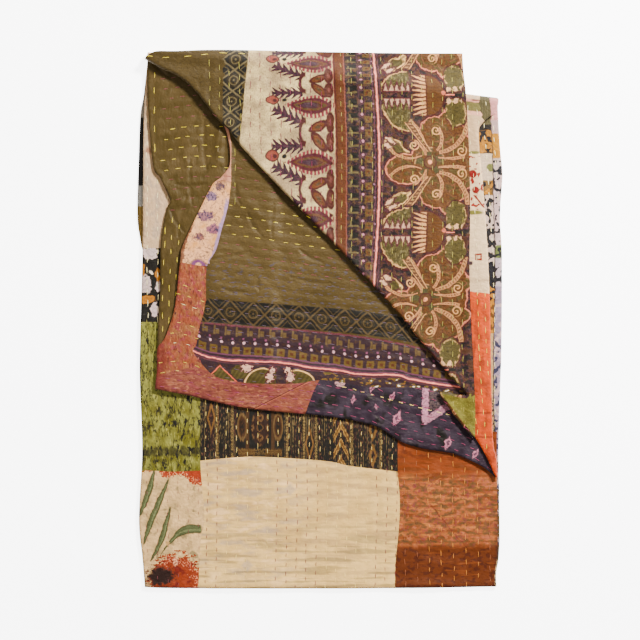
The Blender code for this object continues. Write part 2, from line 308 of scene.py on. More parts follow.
def inside(points, loop):
    """Which points lie inside a closed loop."""
    a, b = loop, np.roll(loop, -1, axis=0)
    rise = np.where(b[:, 1] == a[:, 1], 1e-12, b[:, 1] - a[:, 1])
    out = []
    for part in np.array_split(points, len(points) // 4000 + 1):
        x, y = part[:, :1], part[:, 1:]
        spans = (a[:, 1] > y) != (b[:, 1] > y)
        out.append((spans & (x < a[:, 0] + (y - a[:, 1]) * (b[:, 0] - a[:, 0]) / rise)).sum(axis=1) % 2 == 1)
    return np.concatenate(out)


def depth_in(points, loop):
    """How deep each point is inside a closed loop, below 0 outside it."""
    return np.where(inside(points, loop), 1, -1) * away(points, loop, closed=True)


FOLD_WAY = corner("top right") - corner("top left")
FOLD_WAY = FOLD_WAY / np.linalg.norm(FOLD_WAY)
FOLD_OUT = np.array([-FOLD_WAY[1], FOLD_WAY[0]])
TOP_PITCH = PITCH * (1 + TOP_OPEN)
TOP_MIDDLE = 1.5  # in leaves: the top fold turns about the middle of its four leaves
TOP_BULGE = TOP_MIDDLE * TOP_PITCH


def past_top(points):
    """How far points lie past the top fold's line, away from the packet."""
    return (points - corner("top left")) @ FOLD_OUT


def spread(points):
    """How wide the leaves stand apart: more beside the folds, and a little uneven everywhere."""
    top = np.exp(-np.maximum(-past_top(points), 0) / TOP_REACH)
    sides = np.minimum(away(points, LINE["packet side fold"]), away(points, LINE["upper side fold"]))
    x, y = points[:, 0], points[:, 1]
    (sway_x, over_y), (sway_y, over_x) = RIPPLE_SWAY
    ripple = np.sin(x / RIPPLE_WIDE + sway_x * np.sin(y / over_y))
    ripple = ripple * np.sin(y / RIPPLE_LONG + 0.7 + sway_y * np.sin(x / over_x))
    calm = smooth(-past_top(points) / (2 * TOP_REACH))
    open_by = TOP_OPEN * top + SIDE_OPEN * np.exp(-sides / SIDE_REACH) * (1 - top)
    return PITCH * (1 + open_by + RIPPLE * ripple * calm)


def over_tongue(points):
    """How far the border leaf is lifted by the tongue under it, from 0 to 1."""
    outside = np.maximum(-depth_in(points, OUTLINE["tongue"]), 0)
    lift = 1 - smooth((outside - STEP_CLEAR) / STEP_WIDE)
    return lift * smooth((-past_top(points) - TONGUE_START) / TONGUE_RISE)


def over_border(points):
    """The same for the leaf above it, which starts sooner and ends later."""
    lift = 1 - smooth((points[:, 0] - LIFT_END) / LIFT_FALL)
    return lift * smooth((-past_top(points) - BORDER_START) / BORDER_RISE)


def level(leaf, points):
    """The height of a leaf's middle surface over the table, before puckers and creases."""
    count = LEAVES_BELOW[leaf]
    if leaf == "border leaf":
        count = count + over_tongue(points)
    elif leaf in ("top leaf", "turned corner"):
        count = count + over_border(points)
    return FOLDED_THICK / 2 + spread(points) * count


# ---------------------------------------------------------------- seams and patches

# Lines of the chart where two patches or two layers of hem meet.
BAND_TOP = (
    *((206, 300), (203, 315), (200, 325), (196, 345), (193, 352), (208, 371), (219.5, 378), (240, 382)),
    *((261, 383.6), (297, 383.6), (319.5, 380), (345, 383), (370, 387), (425, 388), (448, 393), (470, 404)),
)
BAND_LEFT = ((231, 182), (228, 205), (222, 228), (216, 250), (207, 266), (206, 290), (206, 300))
LOWER_BAND_TOP = ((155.5, 378), (174, 371), (193, 368), (208, 371))
BANDHANI_SEAM = ((319.5, 380), (313, 392.5), (306, 411.5))
MARBLE_SEAM = ((180, 262), (195, 265), (207, 266))
THIN_TOP = ((212.5, 184), (222, 180), (231, 182))
THIN_EDGE = ((222, 112), (227, 124), (231, 142), (231, 160), (231, 182))
LEAF_SEAM = ((200, 389), (200, 461), (202, 490), (204, 520), (200, 545), (198, 589))
LEAF_TOP = ((139, 470), (170, 472), (200, 471))
IKAT_LOWER = ((200, 461), (232, 458), (258, 457), (296, 459), (330, 462), (348, 466), (380, 470), (398, 472))
RUST_SEAM = ((398, 435), (398, 472), (400, 500), (399, 530), (396, 560), (395, 589))
GREEN_TOP = ((139, 322), (160, 322))
FLORAL_TOP = ((140, 248), (163, 248))
GREEN_EDGE = ((437, 391), (452, 391), (467, 391), (473, 396))

SEAMS = {
    "packet leaf": (LEAF_SEAM, LEAF_TOP, IKAT_LOWER, RUST_SEAM, GREEN_TOP, FLORAL_TOP),
    "border leaf": (BAND_TOP, BAND_LEFT, LOWER_BAND_TOP, BANDHANI_SEAM, MARBLE_SEAM, THIN_TOP, THIN_EDGE),
    "turned corner": (GREEN_EDGE,),
}

# The top right corner of the top leaf, which has the prints of the margin beside it.
MARGIN_CORNER = ((476, 60), (520, 60), (520, 126), (485, 126), (480, 110))


def box(left, top, right, bottom):
    """The outline of a rectangle on the chart."""
    return (left, top), (right, top), (right, bottom), (left, bottom)


EVERYWHERE = box(0, 0, CHART_WIDE, CHART_WIDE)

# What shows on the upper side of each leaf, by look and outline on the chart. The first that holds a point
# counts.
LOOKS_UP = {
    "packet leaf": {
        "leaf_cotton": ((120, 470), (170, 472), (200, 471), *LEAF_SEAM[2:], (198, 610), (120, 610)),
        "cream_silk": (*IKAT_LOWER, *RUST_SEAM[2:], (395, 610), (198, 610), *LEAF_SEAM[:0:-1]),
        "rust_silk": (*RUST_SEAM, (395, 610), (520, 610), (520, 430), (470, 435)),
        "lime_cotton": (*GREEN_TOP, (200, 322), (200, 471), (170, 472), (120, 470), (120, 322)),
        "floral_voile": (*FLORAL_TOP, (200, 248), (200, 322), (120, 322), (120, 248)),
        "plain_cream": ((120, 40), (230, 40), (200, 248), (120, 248)),
        "ikat": box(200, 322, 430, 480),
        "margin_prints": box(430, 80, 520, 480),
    },
    "tongue": {"olive": EVERYWHERE},
    "border leaf": {
        "thin_cream": (*THIN_EDGE, (222, 180), (212.5, 184), (200, 184), (210, 110)),
        "purple_voile": (*THIN_TOP, *BAND_LEFT[1:5], (195, 265), (180, 262), (150, 262), (150, 184)),
        "red_marble": (
            *(*MARBLE_SEAM, *BAND_LEFT[5:], *BAND_TOP[1:6]),
            *((193, 368), (174, 371), (155.5, 378), (140, 378), (140, 262)),
        ),
        "rust_band": (
            *(*LOWER_BAND_TOP, *BAND_TOP[6:11], *BANDHANI_SEAM[1:]),
            *((306, 480), (140, 480), (140, 378)),
        ),
        "bandhani": (*BAND_TOP[10:], (520, 404), (520, 500), (306, 500), (306, 411.5), (313, 392.5)),
        "sari_field": box(180, 80, 520, 460),
    },
    "under leaf": {"margin_prints": EVERYWHERE},
    "top leaf": {"margin_prints": MARGIN_CORNER, "side_prints": EVERYWHERE},
    "turned corner": {
        "green_tip": ((430, 391), (467, 391), (473, 396), (520, 396), (520, 500), (430, 500)),
        "sari_pallu": EVERYWHERE,
    },
}
LOOK_DOWN = {
    "under leaf": "cream_silk",
    "packet leaf": "olive",
    "tongue": "plain_cream",
    "border leaf": "plain_cream",
    "top leaf": "olive",
    "turned corner": "plain_cream",
}
LOOK_UP_ELSE = "olive"


# ---------------------------------------------------------------- rows of stitches


class Rows:
    """A set of stitch rows on one leaf. They run down or across the chart, pitch steps apart, beside a guide
    line given as (along, off). The threads are used in turn from the guide line on, row by row."""

    def __init__(self, leaf, area, down, pitch, guide, threads, deep, every, size, wide):
        self.leaf, self.area = leaf, np.array(area, float)
        self.down, self.pitch, self.guide = down, pitch, np.array(guide, float)
        self.threads, self.deep = threads, deep
        self.every, self.size, self.wide = every, size, wide

    def base(self, along):
        return np.interp(along, self.guide[:, 0], self.guide[:, 1])

    def split(self, chart):
        """(along, which row as a number with a fraction) for chart points."""
        along = chart[:, 1] if self.down else chart[:, 0]
        off = chart[:, 0] if self.down else chart[:, 1]
        return along, (off - self.base(along)) / self.pitch

    def at(self, along, row):
        off = self.base(along) + row * self.pitch
        return np.column_stack([off, along]) if self.down else np.column_stack([along, off])


DOWN, ACROSS = True, False
STAGGER = 0.37  # how far each row's stitches lie ahead of the last row's, as a share of their spacing
ALONE = 200  # pitch of a row that stands alone
LONE_ROW = 50  # cloth doesn't swell beside rows at a wider pitch than this
TURNED_GUIDE = ((40, 148.5), (160, 150), (300, 149), (480, 151))
SILK_THREADS = ("wine",) * 2 + ("cream",) * 5 + ("wine",) * 5 + ("cream",) * 5 + ("wine",) * 3
RUST_THREADS = ("rust",) * 2 + ("ochre",) * 5 + ("rust",)
FIELD_THREADS = ("pink",) * 8 + ("yellow",) * 4 + ("pink",) * 3 + ("mauve",) * 25
CREAM_GUIDE = ((344, 387), (352, 389), (378, 396), (400, 403), (425, 409), (460, 417))
ROSE_GUIDE = ((300, 408), (331, 413), (370, 419.5), (400, 437), (450, 448), (479, 460), (497, 474))

# For each leaf its sets of rows: (area, way, pitch, guide line, threads, how deep the rows pull the cloth in,
# and a stitch's spacing, length and width).
ROW_SETS = {
    "turned corner": (
        (box(200, 62, 249, 200), DOWN, 10.1, TURNED_GUIDE, ("lime",), 1, 12.5, 7, 0.8),
        (box(249, 40, 332, 300), DOWN, 10.1, TURNED_GUIDE, ("wine",), 1, 12.5, 7.2, 1),
        (box(332, 40, 500, 500), DOWN, 10.1, TURNED_GUIDE, ("lime",), 1, 12.5, 6.4, 0.8),
        (box(150, 40, 249, 62), ACROSS, 20, ((150, 57), (174, 58.5), (215, 53.5), (249, 54)))
        + (("yellow",), 1, 18, 7.4, 0.85),
    ),
    "packet leaf": (
        ((*IKAT_LOWER, *RUST_SEAM[2:], (198, 592), *LEAF_SEAM[:0:-1]), DOWN, 10)
        + (((440, 206.5), (500, 207.5), (592, 205)), SILK_THREADS, 1, 9, 4.4, 0.9),
        ((*RUST_SEAM, (395, 592), (510, 592), (510, 430), (430, 425)), DOWN, 12.2)
        + (((420, 405), (500, 404), (592, 406)), RUST_THREADS, 1, 11.5, 5.8, 0.9),
        (((130, 470), (200, 470), *LEAF_SEAM[2:], (198, 592), (130, 592)), DOWN, 10.4)
        + (((470, 146), (592, 147)), ("pink",), 1, 11.5, 4.4, 0.6),
        (box(130, 322, 200, 470), DOWN, 11, ((322, 146), (470, 146)), ("lime",), 1, 11.5, 5, 0.65),
        (((200, 380), (398, 380), (398, 472), *IKAT_LOWER[::-1]), DOWN, 10.4)
        + (((380, 206), (472, 205)), ("cream",), 1, 11.5, 5, 0.7),
        (box(130, 40, 170, 322), DOWN, 10.4, ((40, 146), (322, 147)), ("pale",), 1, 11.5, 5.8, 1),
        (box(470, 90, 510, 425), DOWN, 9, ((90, 482), (260, 494), (460, 496)), ("pale",), 1, 11.5, 5.8, 1),
    ),
    "border leaf": (
        (((200, 100), (470, 100), (470, 405), *BAND_TOP[::-1], *BAND_LEFT[::-1]), ACROSS, 9.6)
        + (((190, 124), (232, 129), (300, 139), (380, 149), (470, 166)), FIELD_THREADS, 1.3, 13, 5.2, 0.85),
        (box(231, 120, 240, 205), DOWN, ALONE, ((120, 235.5), (205, 234.5)), ("lime",), 1, 16, 7, 0.8),
        (((344, 382), (432, 386), (460, 404), (460, 424), (344, 400)), ACROSS, ALONE)
        + (CREAM_GUIDE, ("cream",), 1, 9.5, 5, 0.9),
        (((306, 380), *BAND_TOP[10:], (505, 420), (505, 490), (306, 415)), ACROSS, 8.8)
        + (ROSE_GUIDE, ("rose",), 1, 11.5, 5.8, 1),
        ((*LOWER_BAND_TOP, *BAND_TOP[6:11], *BANDHANI_SEAM[1:], (300, 415), (150, 400), (150, 378)),)
        + (ACROSS, 8.8, ((150, 385), (190, 391), (235, 401), (276, 406.5), (306, 409)))
        + (("rose",), 1, 11.5, 5.8, 1),
        ((*THIN_TOP, *BAND_LEFT[1:5], (195, 265), (180, 262), (160, 262), (180, 200)), DOWN, 9)
        + (((176, 221), (200, 205), (226, 196), (262, 185)), ("mauve",), 1, 11.5, 3.4, 0.6),
        (((150, 262), *BAND_LEFT[5:], *BAND_TOP[1:6], (193, 368), (155, 378)), ACROSS, 9.6)
        + (((150, 268), (180, 265), (207, 274)), ("pale", "pink", "yellow", "yellow"), 1, 13, 4.6, 0.8),
    ),
    "tongue": (
        (box(160, 58, 235, 215), ACROSS, 10.2)
        + (((140, 131), (165, 129.3), (188, 126), (205, 124.7), (230, 127)),)
        + (("yellow",) * 5 + ("pink",) * 25, 1.4, 12, 5.2, 0.85),
        (((140, 74), (158, 74), (164, 160), (140, 160)), DOWN, ALONE, ((50, 154), (155, 154.5)))
        + (("yellow",), 1, 18, 8, 0.9),
        (((150, 212), (180, 212), (175, 400), (150, 400)), DOWN, 6.5, ((215, 166), (300, 162), (330, 162)))
        + (("yellow",), 1, 17, 6.4, 0.85),
    ),
    "top leaf": (
        (box(460, 50, 505, 292), DOWN, 9, ((90, 466.5), (175, 473), (260, 477), (292, 478)))
        + (("pale",), 1, 11.5, 5, 0.7),
        (box(460, 292, 505, 470), DOWN, 7.6, ((292, 477), (350, 479), (420, 484), (470, 488)))
        + (("yellow",), 1, 11, 6.4, 0.9),
    ),
}
STITCH_ROWS = [Rows(leaf, *row) for leaf, sets in ROW_SETS.items() for row in sets]


def covered(leaf, points, margin=0):
    """Which points of a leaf lie under another leaf by more than a margin."""
    hidden = np.zeros(len(points), bool)
    for above in COVERED_BY[leaf]:
        hidden |= depth_in(points, OUTLINE[above]) > margin
    return hidden


# ---------------------------------------------------------------- relief

# Soft creases on each leaf's upper side: chart line, width in mm, and height in mm, below 0 for a trough.
CREASES = {
    "turned corner": (
        (((232, 50), (238, 90), (236, 145)), 9, -0.9),
        (((326, 50), (329, 120), (327, 225)), 7, -1.1),
        (((376, 52), (374, 140), (377, 235), (373, 288)), 6, -1.3),
        (((338, 52), (341, 150), (338, 240)), 8, 0.9),
        (((400, 60), (408, 150), (396, 240), (404, 310)), 14, 1.2),
        (((452, 60), (447, 170), (455, 280), (449, 360)), 12, -1),
        (((182, 60), (250, 96), (330, 160)), 16, 1),
        (((150, 52), (240, 60), (330, 54), (460, 60)), 8, 1.1),
        (((466, 60), (464, 200), (468, 380)), 7, 1),
        (((270, 60), (276, 110), (268, 168)), 10, -0.8),
        (((445, 395), (462, 412), (474, 436)), 8, -0.9),
    ),
    "border leaf": (
        (((363, 385), (369, 402), (375, 428)), 7, 2.4),
        (((268.6, 402), (286, 393), (307, 382.7)), 4, 1.4),
        (((226, 142), (228, 176), (222, 226), (214, 262)), 7, 1.7),
        (((205, 262), (203, 306), (193, 352)), 6, -1.6),
        (((240, 196), (268, 224), (300, 262)), 10, 1),
        (((232, 236), (258, 262), (282, 300)), 8, -0.9),
        (((204, 340), (300, 352), (420, 372)), 7, -0.8),
        (((210, 300), (270, 306), (330, 316)), 7, -0.8),
        (((156, 386), (200, 394), (250, 404), (303, 409)), 6, 1.2),
        (((440, 402), (452, 424), (470, 446)), 8, 1.3),
        (((408, 395), (414, 420), (408, 440)), 8, -1.1),
        (((330, 386), (336, 402), (330, 415)), 8, -1),
    ),
    "tongue": (
        (((224, 124), (219, 145), (216, 172)), 8, 3.4),
        (((205, 122), (204, 150), (206, 178)), 6, -1.5),
        (((192, 120), (186, 150), (190, 190)), 9, 1.6),
        (((164, 182), (176, 196), (192, 204)), 8, 1.3),
    ),
    "packet leaf": (
        (((205, 462), (250, 464), (300, 465), (350, 470), (396, 476)), 6, 1.2),
        (((203, 466), (205, 520), (201, 586)), 6, -1.4),
        (((399, 476), (402, 530), (398, 586)), 6, -1.3),
        (((230, 500), (300, 508), (380, 498)), 16, 1.1),
        (((215, 545), (300, 552), (390, 560)), 14, -0.9),
        (((420, 470), (460, 478), (492, 492)), 12, 1.3),
        (((410, 550), (450, 556), (490, 552)), 10, -1.2),
        (((150, 520), (176, 528), (196, 540)), 12, 1),
        (((150, 340), (152, 390), (150, 450)), 8, 0.9),
        (((140, 470), (170, 473), (198, 471)), 5, -1),
        (((142, 586), (250, 584), (380, 585), (495, 584)), 6, 0.9),
    ),
    "top leaf": (
        (((480, 408), (487, 413), (492, 414)), 5, -1.6),
        (((482, 432), (488, 437), (494, 438)), 5, -1.5),
        (((472, 100), (477, 200), (480, 300), (484, 400)), 7, 1.1),
        (((470, 292), (480, 293), (490, 292)), 4, -1.2),
        (((466, 152), (476, 152), (484, 152)), 4, -1),
    ),
}
PUCKER = 0.55 * MM  # depth of the troughs that the stitch rows pull in
ROW_TROUGH = 2 # half width of such a trough, in chart steps
SWELL = 0.6  # share of PUCKER that the cloth swells beside the rows
BILLOW = 0.9 * MM  # height of the cloth's broad unevenness
WRINKLE = 0.35 * MM  # and of its small wrinkles
HEM_LIFT = 1.1 * MM  # how far a visible hem curls up in places
NEAR_COVER = 16 * MM  # relief fades out over this width as a leaf goes under another


def cloud(points, size, seed):
    """Smooth unevenness from about -1 to 1, with lumps of about the given size in metres."""
    return np.array([noise.noise(Vector((x / size, y / size, seed))) for x, y in points]) * 1.6


def puckers(leaf, points):
    """Troughs along the stitch rows, deeper at each stitch."""
    chart = on_chart(points)
    relief = np.zeros(len(points))
    for rows in STITCH_ROWS:
        if rows.leaf != leaf:
            continue
        near = smooth(depth_in(chart, rows.area) / 4 + 0.5)
        along, row = rows.split(chart)
        off = (row - np.round(row)) * rows.pitch
        waist = 0.75 + 0.25 * np.cos(2 * np.pi * (along / rows.every + STAGGER * np.round(row)))
        swell = SWELL if rows.pitch < LONE_ROW else 0
        relief -= near * rows.deep * PUCKER * (np.exp(-((off / ROW_TROUGH) ** 2)) * waist * 1.7 - swell)
    return relief


def creases(leaf, points):
    relief = np.zeros(len(points))
    for line, width, tall in CREASES.get(leaf, ()):
        path = through(off_chart(line), 4 * MM)
        gap = away(points, path) / (width * MM)
        ends = np.minimum(
            np.linalg.norm(points - path[0], axis=1), np.linalg.norm(points - path[-1], axis=1)
        )
        fade = smooth(ends / (2.2 * width * MM)) * 0.75 + 0.25
        relief += tall * MM * np.exp(-(gap**2)) * fade
    return relief


def hem_curl(leaf, points):
    """Hems that lift off what is under them, more in some places than in others."""
    relief = np.zeros(len(points))
    for name in LEAVES[leaf]:
        if "hem" not in name:
            continue
        gap = away(points, LINE[name.removeprefix(BACK)])
        relief += HEM_LIFT * np.exp(-gap / (9 * MM)) * np.clip(0.5 + cloud(points, 0.07, 3.1), 0, 1.4)
    return relief


def relief(leaf, points):
    """What the cloth's upper side adds to the height of a leaf, where it shows."""
    shows = np.ones(len(points))
    for above in COVERED_BY[leaf]:
        shows *= smooth(-depth_in(points, OUTLINE[above]) / NEAR_COVER)
    if leaf != "turned corner":
        shows *= smooth(-past_top(points) / (2 * TOP_REACH))
    if leaf == "under leaf" or not shows.any():
        return np.zeros(len(points))
    rise = puckers(leaf, points) + creases(leaf, points) + hem_curl(leaf, points)
    rise += BILLOW * cloud(points, 0.085, 7.7) + WRINKLE * cloud(points, 0.02, 1.3)
    return rise * shows


def height(leaf, points):
    """The height of a leaf's middle surface over the table."""
    z = level(leaf, points) + np.maximum(relief(leaf, points), -1.1 * MM)
    if leaf != "turned corner":
        return z
    z = z + CREASE_PUFF * np.exp(-away(points, CREASE) / PUFF_REACH)
    beyond = past_top(points) - TOP_BULGE - FOLDED_THICK / 2 - CLEAR
    on_table = FOLDED_THICK / 2 + 0.6 * np.maximum(relief(leaf, points), 0)
    return z + (on_table - z) * smooth(beyond / DROP_WIDE)


# ---------------------------------------------------------------- the cloth


def grid_points(loop, step):
    """Points of an even triangular grid inside a loop, kept off it."""
    low, high = loop.min(axis=0) - step, loop.max(axis=0) + step
    rows = int((high[1] - low[1]) / (step * 0.866)) + 1
    columns = int((high[0] - low[0]) / step) + 1
    j, i = np.mgrid[0:rows, 0:columns]
    x, y = low[0] + (i + 0.5 * (j % 2)) * step, low[1] + j * step * 0.866
    points = np.column_stack([x.ravel(), y.ravel()])
    points = points[inside(points, loop)]
    return points[away(points, loop, closed=True) > 0.55 * step]


def leaf_points(leaf, fine):
    """A leaf's inner points: close together where it shows, wide apart where it is covered."""
    loop = OUTLINE[leaf]
    wide = grid_points(loop, HIDDEN_STEP)
    if leaf == "under leaf":
        return wide
    close = grid_points(loop, fine)
    close = close[~covered(leaf, close, COVER_MARGIN)]
    wide = wide[covered(leaf, wide, COVER_MARGIN + 0.5 * fine)]
    return np.vstack([close, wide])


def seam_points(leaf):
    """The leaf's seams as runs of points. An end near the outline is moved onto one of its points."""
    loop = OUTLINE[leaf]
    runs = []
    for seam in SEAMS.get(leaf, ()):
        run = through(off_chart(seam), LINE_STEP)
        for end in (0, -1):
            gaps = np.linalg.norm(loop - run[end], axis=1)
            if gaps.min() < 3 * CELL:
                run[end] = loop[gaps.argmin()]
        keep = inside(run, loop) & (away(run, loop, closed=True) > 0.3 * LINE_STEP)
        keep[0], keep[-1] = True, True
        runs.append(run[keep])
    return runs


class Surface:
    """The middle surface, gathered as points and faces and welded where leaves and strips meet."""

    def __init__(self):
        self.points = []
        self.faces = []
        self.parts = []

    def add(self, points, faces, part):
        first = len(self.points)
        self.points.extend(tuple(float(c) for c in p) for p in points)
        self.faces.extend(tuple(first + i for i in face) for face in faces)
        self.parts.extend([part] * len(faces))

    def add_grid(self, grid, part):
        """A grid of points, rows by columns, as four-sided faces."""
        rows, columns = len(grid), len(grid[0])
        faces = [
            (r * columns + c, r * columns + c + 1, (r + 1) * columns + c + 1, (r + 1) * columns + c)
            for r in range(rows - 1)
            for c in range(columns - 1)
        ]
        self.add(np.array(grid).reshape(-1, 3), faces, part)


def add_leaf(surface, leaf, fine):
    loop = OUTLINE[leaf]
    inner = leaf_points(leaf, fine)
    runs = seam_points(leaf)
    for run in runs:
        inner = inner[away(inner, run) > 0.45 * fine]
    points = [loop, inner]
    edges = []
    count = len(loop) + len(inner)
    for run in runs:
        points.append(run)
        edges.extend((count + i, count + i + 1) for i in range(len(run) - 1))
        count += len(run)
    points = np.vstack(points)
    made = delaunay_2d_cdt([tuple(p) for p in points], edges, [list(range(len(loop)))], 1, 1e-7)
    flat = np.array([tuple(v) for v in made[0]])
    surface.add(np.column_stack([flat, height(leaf, flat)]), made[2], leaf)


def out_of(line, ways=()):
    """The level direction out of a line at each point, to the left of its way, with the ends given."""
    d = np.gradient(line, axis=0)
    out = np.column_stack([-d[:, 1], d[:, 0]])
    out /= np.linalg.norm(out, axis=1)[:, None]
    for index, way in ways:
        out[index] = way
    return out


def add_turn(surface, line, out, lower, upper, part):
    """The half-round strip that joins two leaves along a line."""
    low, high = height(lower, line), height(upper, line)
    grid = []
    for k in range(SIDE_TURN + 1):
        angle = math.pi * k / SIDE_TURN
        reach = (high - low) / 2 * math.sin(angle)
        z = (low + high) / 2 - (high - low) / 2 * math.cos(angle)
        grid.append(np.column_stack([line + out * reach[:, None], z]))
    surface.add_grid(grid, part)


def top_turn_point(flat, radius, turn):
    """A point of the top fold: turned about the fold's axis from the packet over to the upper leaves."""
    middle = FOLDED_THICK / 2 + TOP_MIDDLE * TOP_PITCH
    there = flat + FOLD_OUT * radius * math.sin(turn)
    return (there[0], there[1], middle - radius * math.cos(turn))


def add_top_fold(surface):
    """The two strips of the top fold, one inside the other, and the side fold carried round its right end."""
    turns = [math.pi * k / TOP_TURN for k in range(TOP_TURN + 1)]
    for radius in (TOP_BULGE, TOP_PITCH / 2):
        strip = [[top_turn_point(p, radius, turn) for p in LINE["top fold"]] for turn in turns]
        surface.add_grid(strip, "top fold")
    middle, half = (TOP_BULGE + TOP_PITCH / 2) / 2, (TOP_BULGE - TOP_PITCH / 2) / 2
    grid = []
    for turn in turns:
        row = []
        for k in range(SIDE_TURN + 1):
            angle = math.pi * k / SIDE_TURN
            flat = corner("top right") + FOLD_WAY * half * math.sin(angle)
            row.append(top_turn_point(flat, middle + half * math.cos(angle), turn))
        grid.append(row)
    surface.add_grid(grid, "top fold")


def cloth_surface(fine):
    surface = Surface()
    for leaf in LEAVES:
        add_leaf(surface, leaf, fine)
    side, upper = LINE["packet side fold"], LINE["upper side fold"]
    add_turn(surface, side, out_of(side, ((0, FOLD_WAY),)), "under leaf", "packet leaf", "packet side fold")
    add_turn(surface, upper, out_of(upper, ((0, FOLD_WAY),)), "border leaf", "top leaf", "upper side fold")
    add_turn(surface, CREASE, -out_of(CREASE), "top leaf", "turned corner", "crease")
    add_top_fold(surface)
    return surface


PARTS = (*LEAVES, "top fold", "packet side fold", "upper side fold", "crease")
# Which look the outside of each fold has.
FOLD_LOOKS = {
    "top fold": "plain_cream",
    "packet side fold": "margin_prints",
    "upper side fold": "side_prints",
    "crease": "sari_pallu",
}


def base_mesh(surface):
    """The middle surface as a welded mesh that carries the number of the part each face belongs to."""
    mesh = bpy.data.meshes.new("quilt_middle")
    mesh.from_pydata(surface.points, [], surface.faces)
    shape = bmesh.new()
    shape.from_mesh(mesh)
    part = shape.faces.layers.int.new("part")
    for face, name in zip(shape.faces, surface.parts):
        face[part] = PARTS.index(name)
    bmesh.ops.remove_doubles(shape, verts=shape.verts, dist=WELD)
    bmesh.ops.recalc_face_normals(shape, faces=shape.faces)
    shape.to_mesh(mesh)
    shape.free()
    return mesh


def assign_looks(mesh, faces_in_base):
    """Each face's material: the upper or lower look of its leaf, or its fold's."""
    count = len(mesh.polygons)
    part = np.zeros(count, int)
    mesh.attributes["part"].data.foreach_get("value", part)
    middle = np.zeros(count * 3)
    mesh.polygons.foreach_get("center", middle)
    middle = middle.reshape(-1, 3)
    normal = np.zeros(count * 3)
    mesh.polygons.foreach_get("normal", normal)
    normal = normal.reshape(-1, 3)
    chart = on_chart(middle[:, :2])
    index = np.full(count, LOOKS.index(LOOK_UP_ELSE))
    rim = np.arange(count) >= 2 * faces_in_base
    margin = inside(chart, np.array(MARGIN_CORNER, float))
    for number, name in enumerate(PARTS):
        here = part == number
        if name in LEAVES:
            up = here & (normal[:, 2] > 0) & ~rim
            down = here & ~up
            index[down] = LOOKS.index(LOOK_DOWN.get(name, LOOK_UP_ELSE))
            left = up | (here & rim)
            index[left] = LOOKS.index(LOOK_UP_ELSE)
            for look, area in LOOKS_UP[name].items():
                which = np.flatnonzero(left)
                held = which[inside(chart[which], np.array(area, float))] if len(which) else which
                index[held] = LOOKS.index(look)
                left[held] = False
        else:
            index[here] = LOOKS.index(FOLD_LOOKS[name])
            index[here & margin] = LOOKS.index("margin_prints")
    mesh.polygons.foreach_set("material_index", index.astype(np.int32))


def make_cloth(thick, fine, looks):
    """The quilt as one closed piece."""
    surface = cloth_surface(fine)
    mesh = base_mesh(surface)
    base_faces = len(mesh.polygons)
    cloth = bpy.data.objects.new("quilt_look", mesh)
    bpy.context.collection.objects.link(cloth)
    wall = cloth.modifiers.new("thickness", "SOLIDIFY")
    wall.thickness = thick
    wall.offset = 0
    wall.use_even_offset = True
    wall.use_rim = True
    depsgraph = bpy.context.evaluated_depsgraph_get()
    solid = bpy.data.meshes.new_from_object(cloth.evaluated_get(depsgraph))
    cloth.modifiers.remove(wall)
    cloth.data = solid
    solid.name = "quilt_look"
    bpy.data.meshes.remove(mesh)
    solid.shade_smooth()
    for look in looks:
        solid.materials.append(look)
    assign_looks(solid, base_faces)
    solid.attributes.remove(solid.attributes["part"])
    return cloth


# ---------------------------------------------------------------- stitches

# Thread colours, 0 to 255 a channel.
THREADS = {
    "lime": (200, 192, 110),
    "yellow": (224, 214, 130),
    "ochre": (222, 176, 96),
    "pink": (184, 92, 96),
    "rose": (190, 84, 124),
    "wine": (176, 44, 84),
    "cream": (232, 214, 174),
    "pale": (230, 218, 196),
    "mauve": (134, 104, 124),
    "rust": (196, 124, 70),
}
HEM_GAP = 2.2 * MM  # no stitch is closer to a hem than this
COVER_GAP = 1.5 * MM  # nor to a leaf above
OVER_ALL = 0.2  # a height above the whole packet


def stitch_places(rows, tree, size_share, rng):
    """Where the stitches of a set of rows lie: (thread, place, way, normal, length)."""
    low, high = rows.area.min(axis=0), rows.area.max(axis=0)
    first = math.floor((low[0 if rows.down else 1] - rows.guide[:, 1].max()) / rows.pitch) - 1
    last = math.ceil((high[0 if rows.down else 1] - rows.guide[:, 1].min()) / rows.pitch) + 1
    start, end = (low[1], high[1]) if rows.down else (low[0], high[0])
    loop = OUTLINE[rows.leaf]
    out = []
    for row in range(first, last + 1):
        along = np.arange(start, end, rows.every) + (STAGGER * row % 1) * rows.every
        along = along + rng.uniform(-0.12, 0.12, len(along)) * rows.every
        sway = (0.3 * np.sin(along / 23 + row * 1.7) + 0.2 * np.sin(along / 9.5 + row)) / rows.pitch
        spot = rows.at(along, row + sway + rng.uniform(-0.35, 0.35, len(along)) / rows.pitch)
        flat, ahead = off_chart(spot), off_chart(rows.at(along + 4, row + sway))
        keep = inside(spot, rows.area) & (depth_in(flat, loop) > HEM_GAP)
        keep &= ~covered(rows.leaf, flat, -COVER_GAP)
        if not keep.any():
            continue
        thread = rows.threads[row % len(rows.threads)]
        for p, q in zip(flat[keep], ahead[keep]):
            hit, normal, _, _ = tree.ray_cast(Vector((p[0], p[1], OVER_ALL)), Vector((0, 0, -1)))
            if hit is None:
                continue
            way = Vector((q[0] - p[0], q[1] - p[1], 0))
            way = (way - normal * way.dot(normal)).normalized()
            length = rows.size * CELL * size_share * rng.uniform(0.75, 1.2)
            out.append((thread, hit, way, normal, length, rows.wide))
    return out


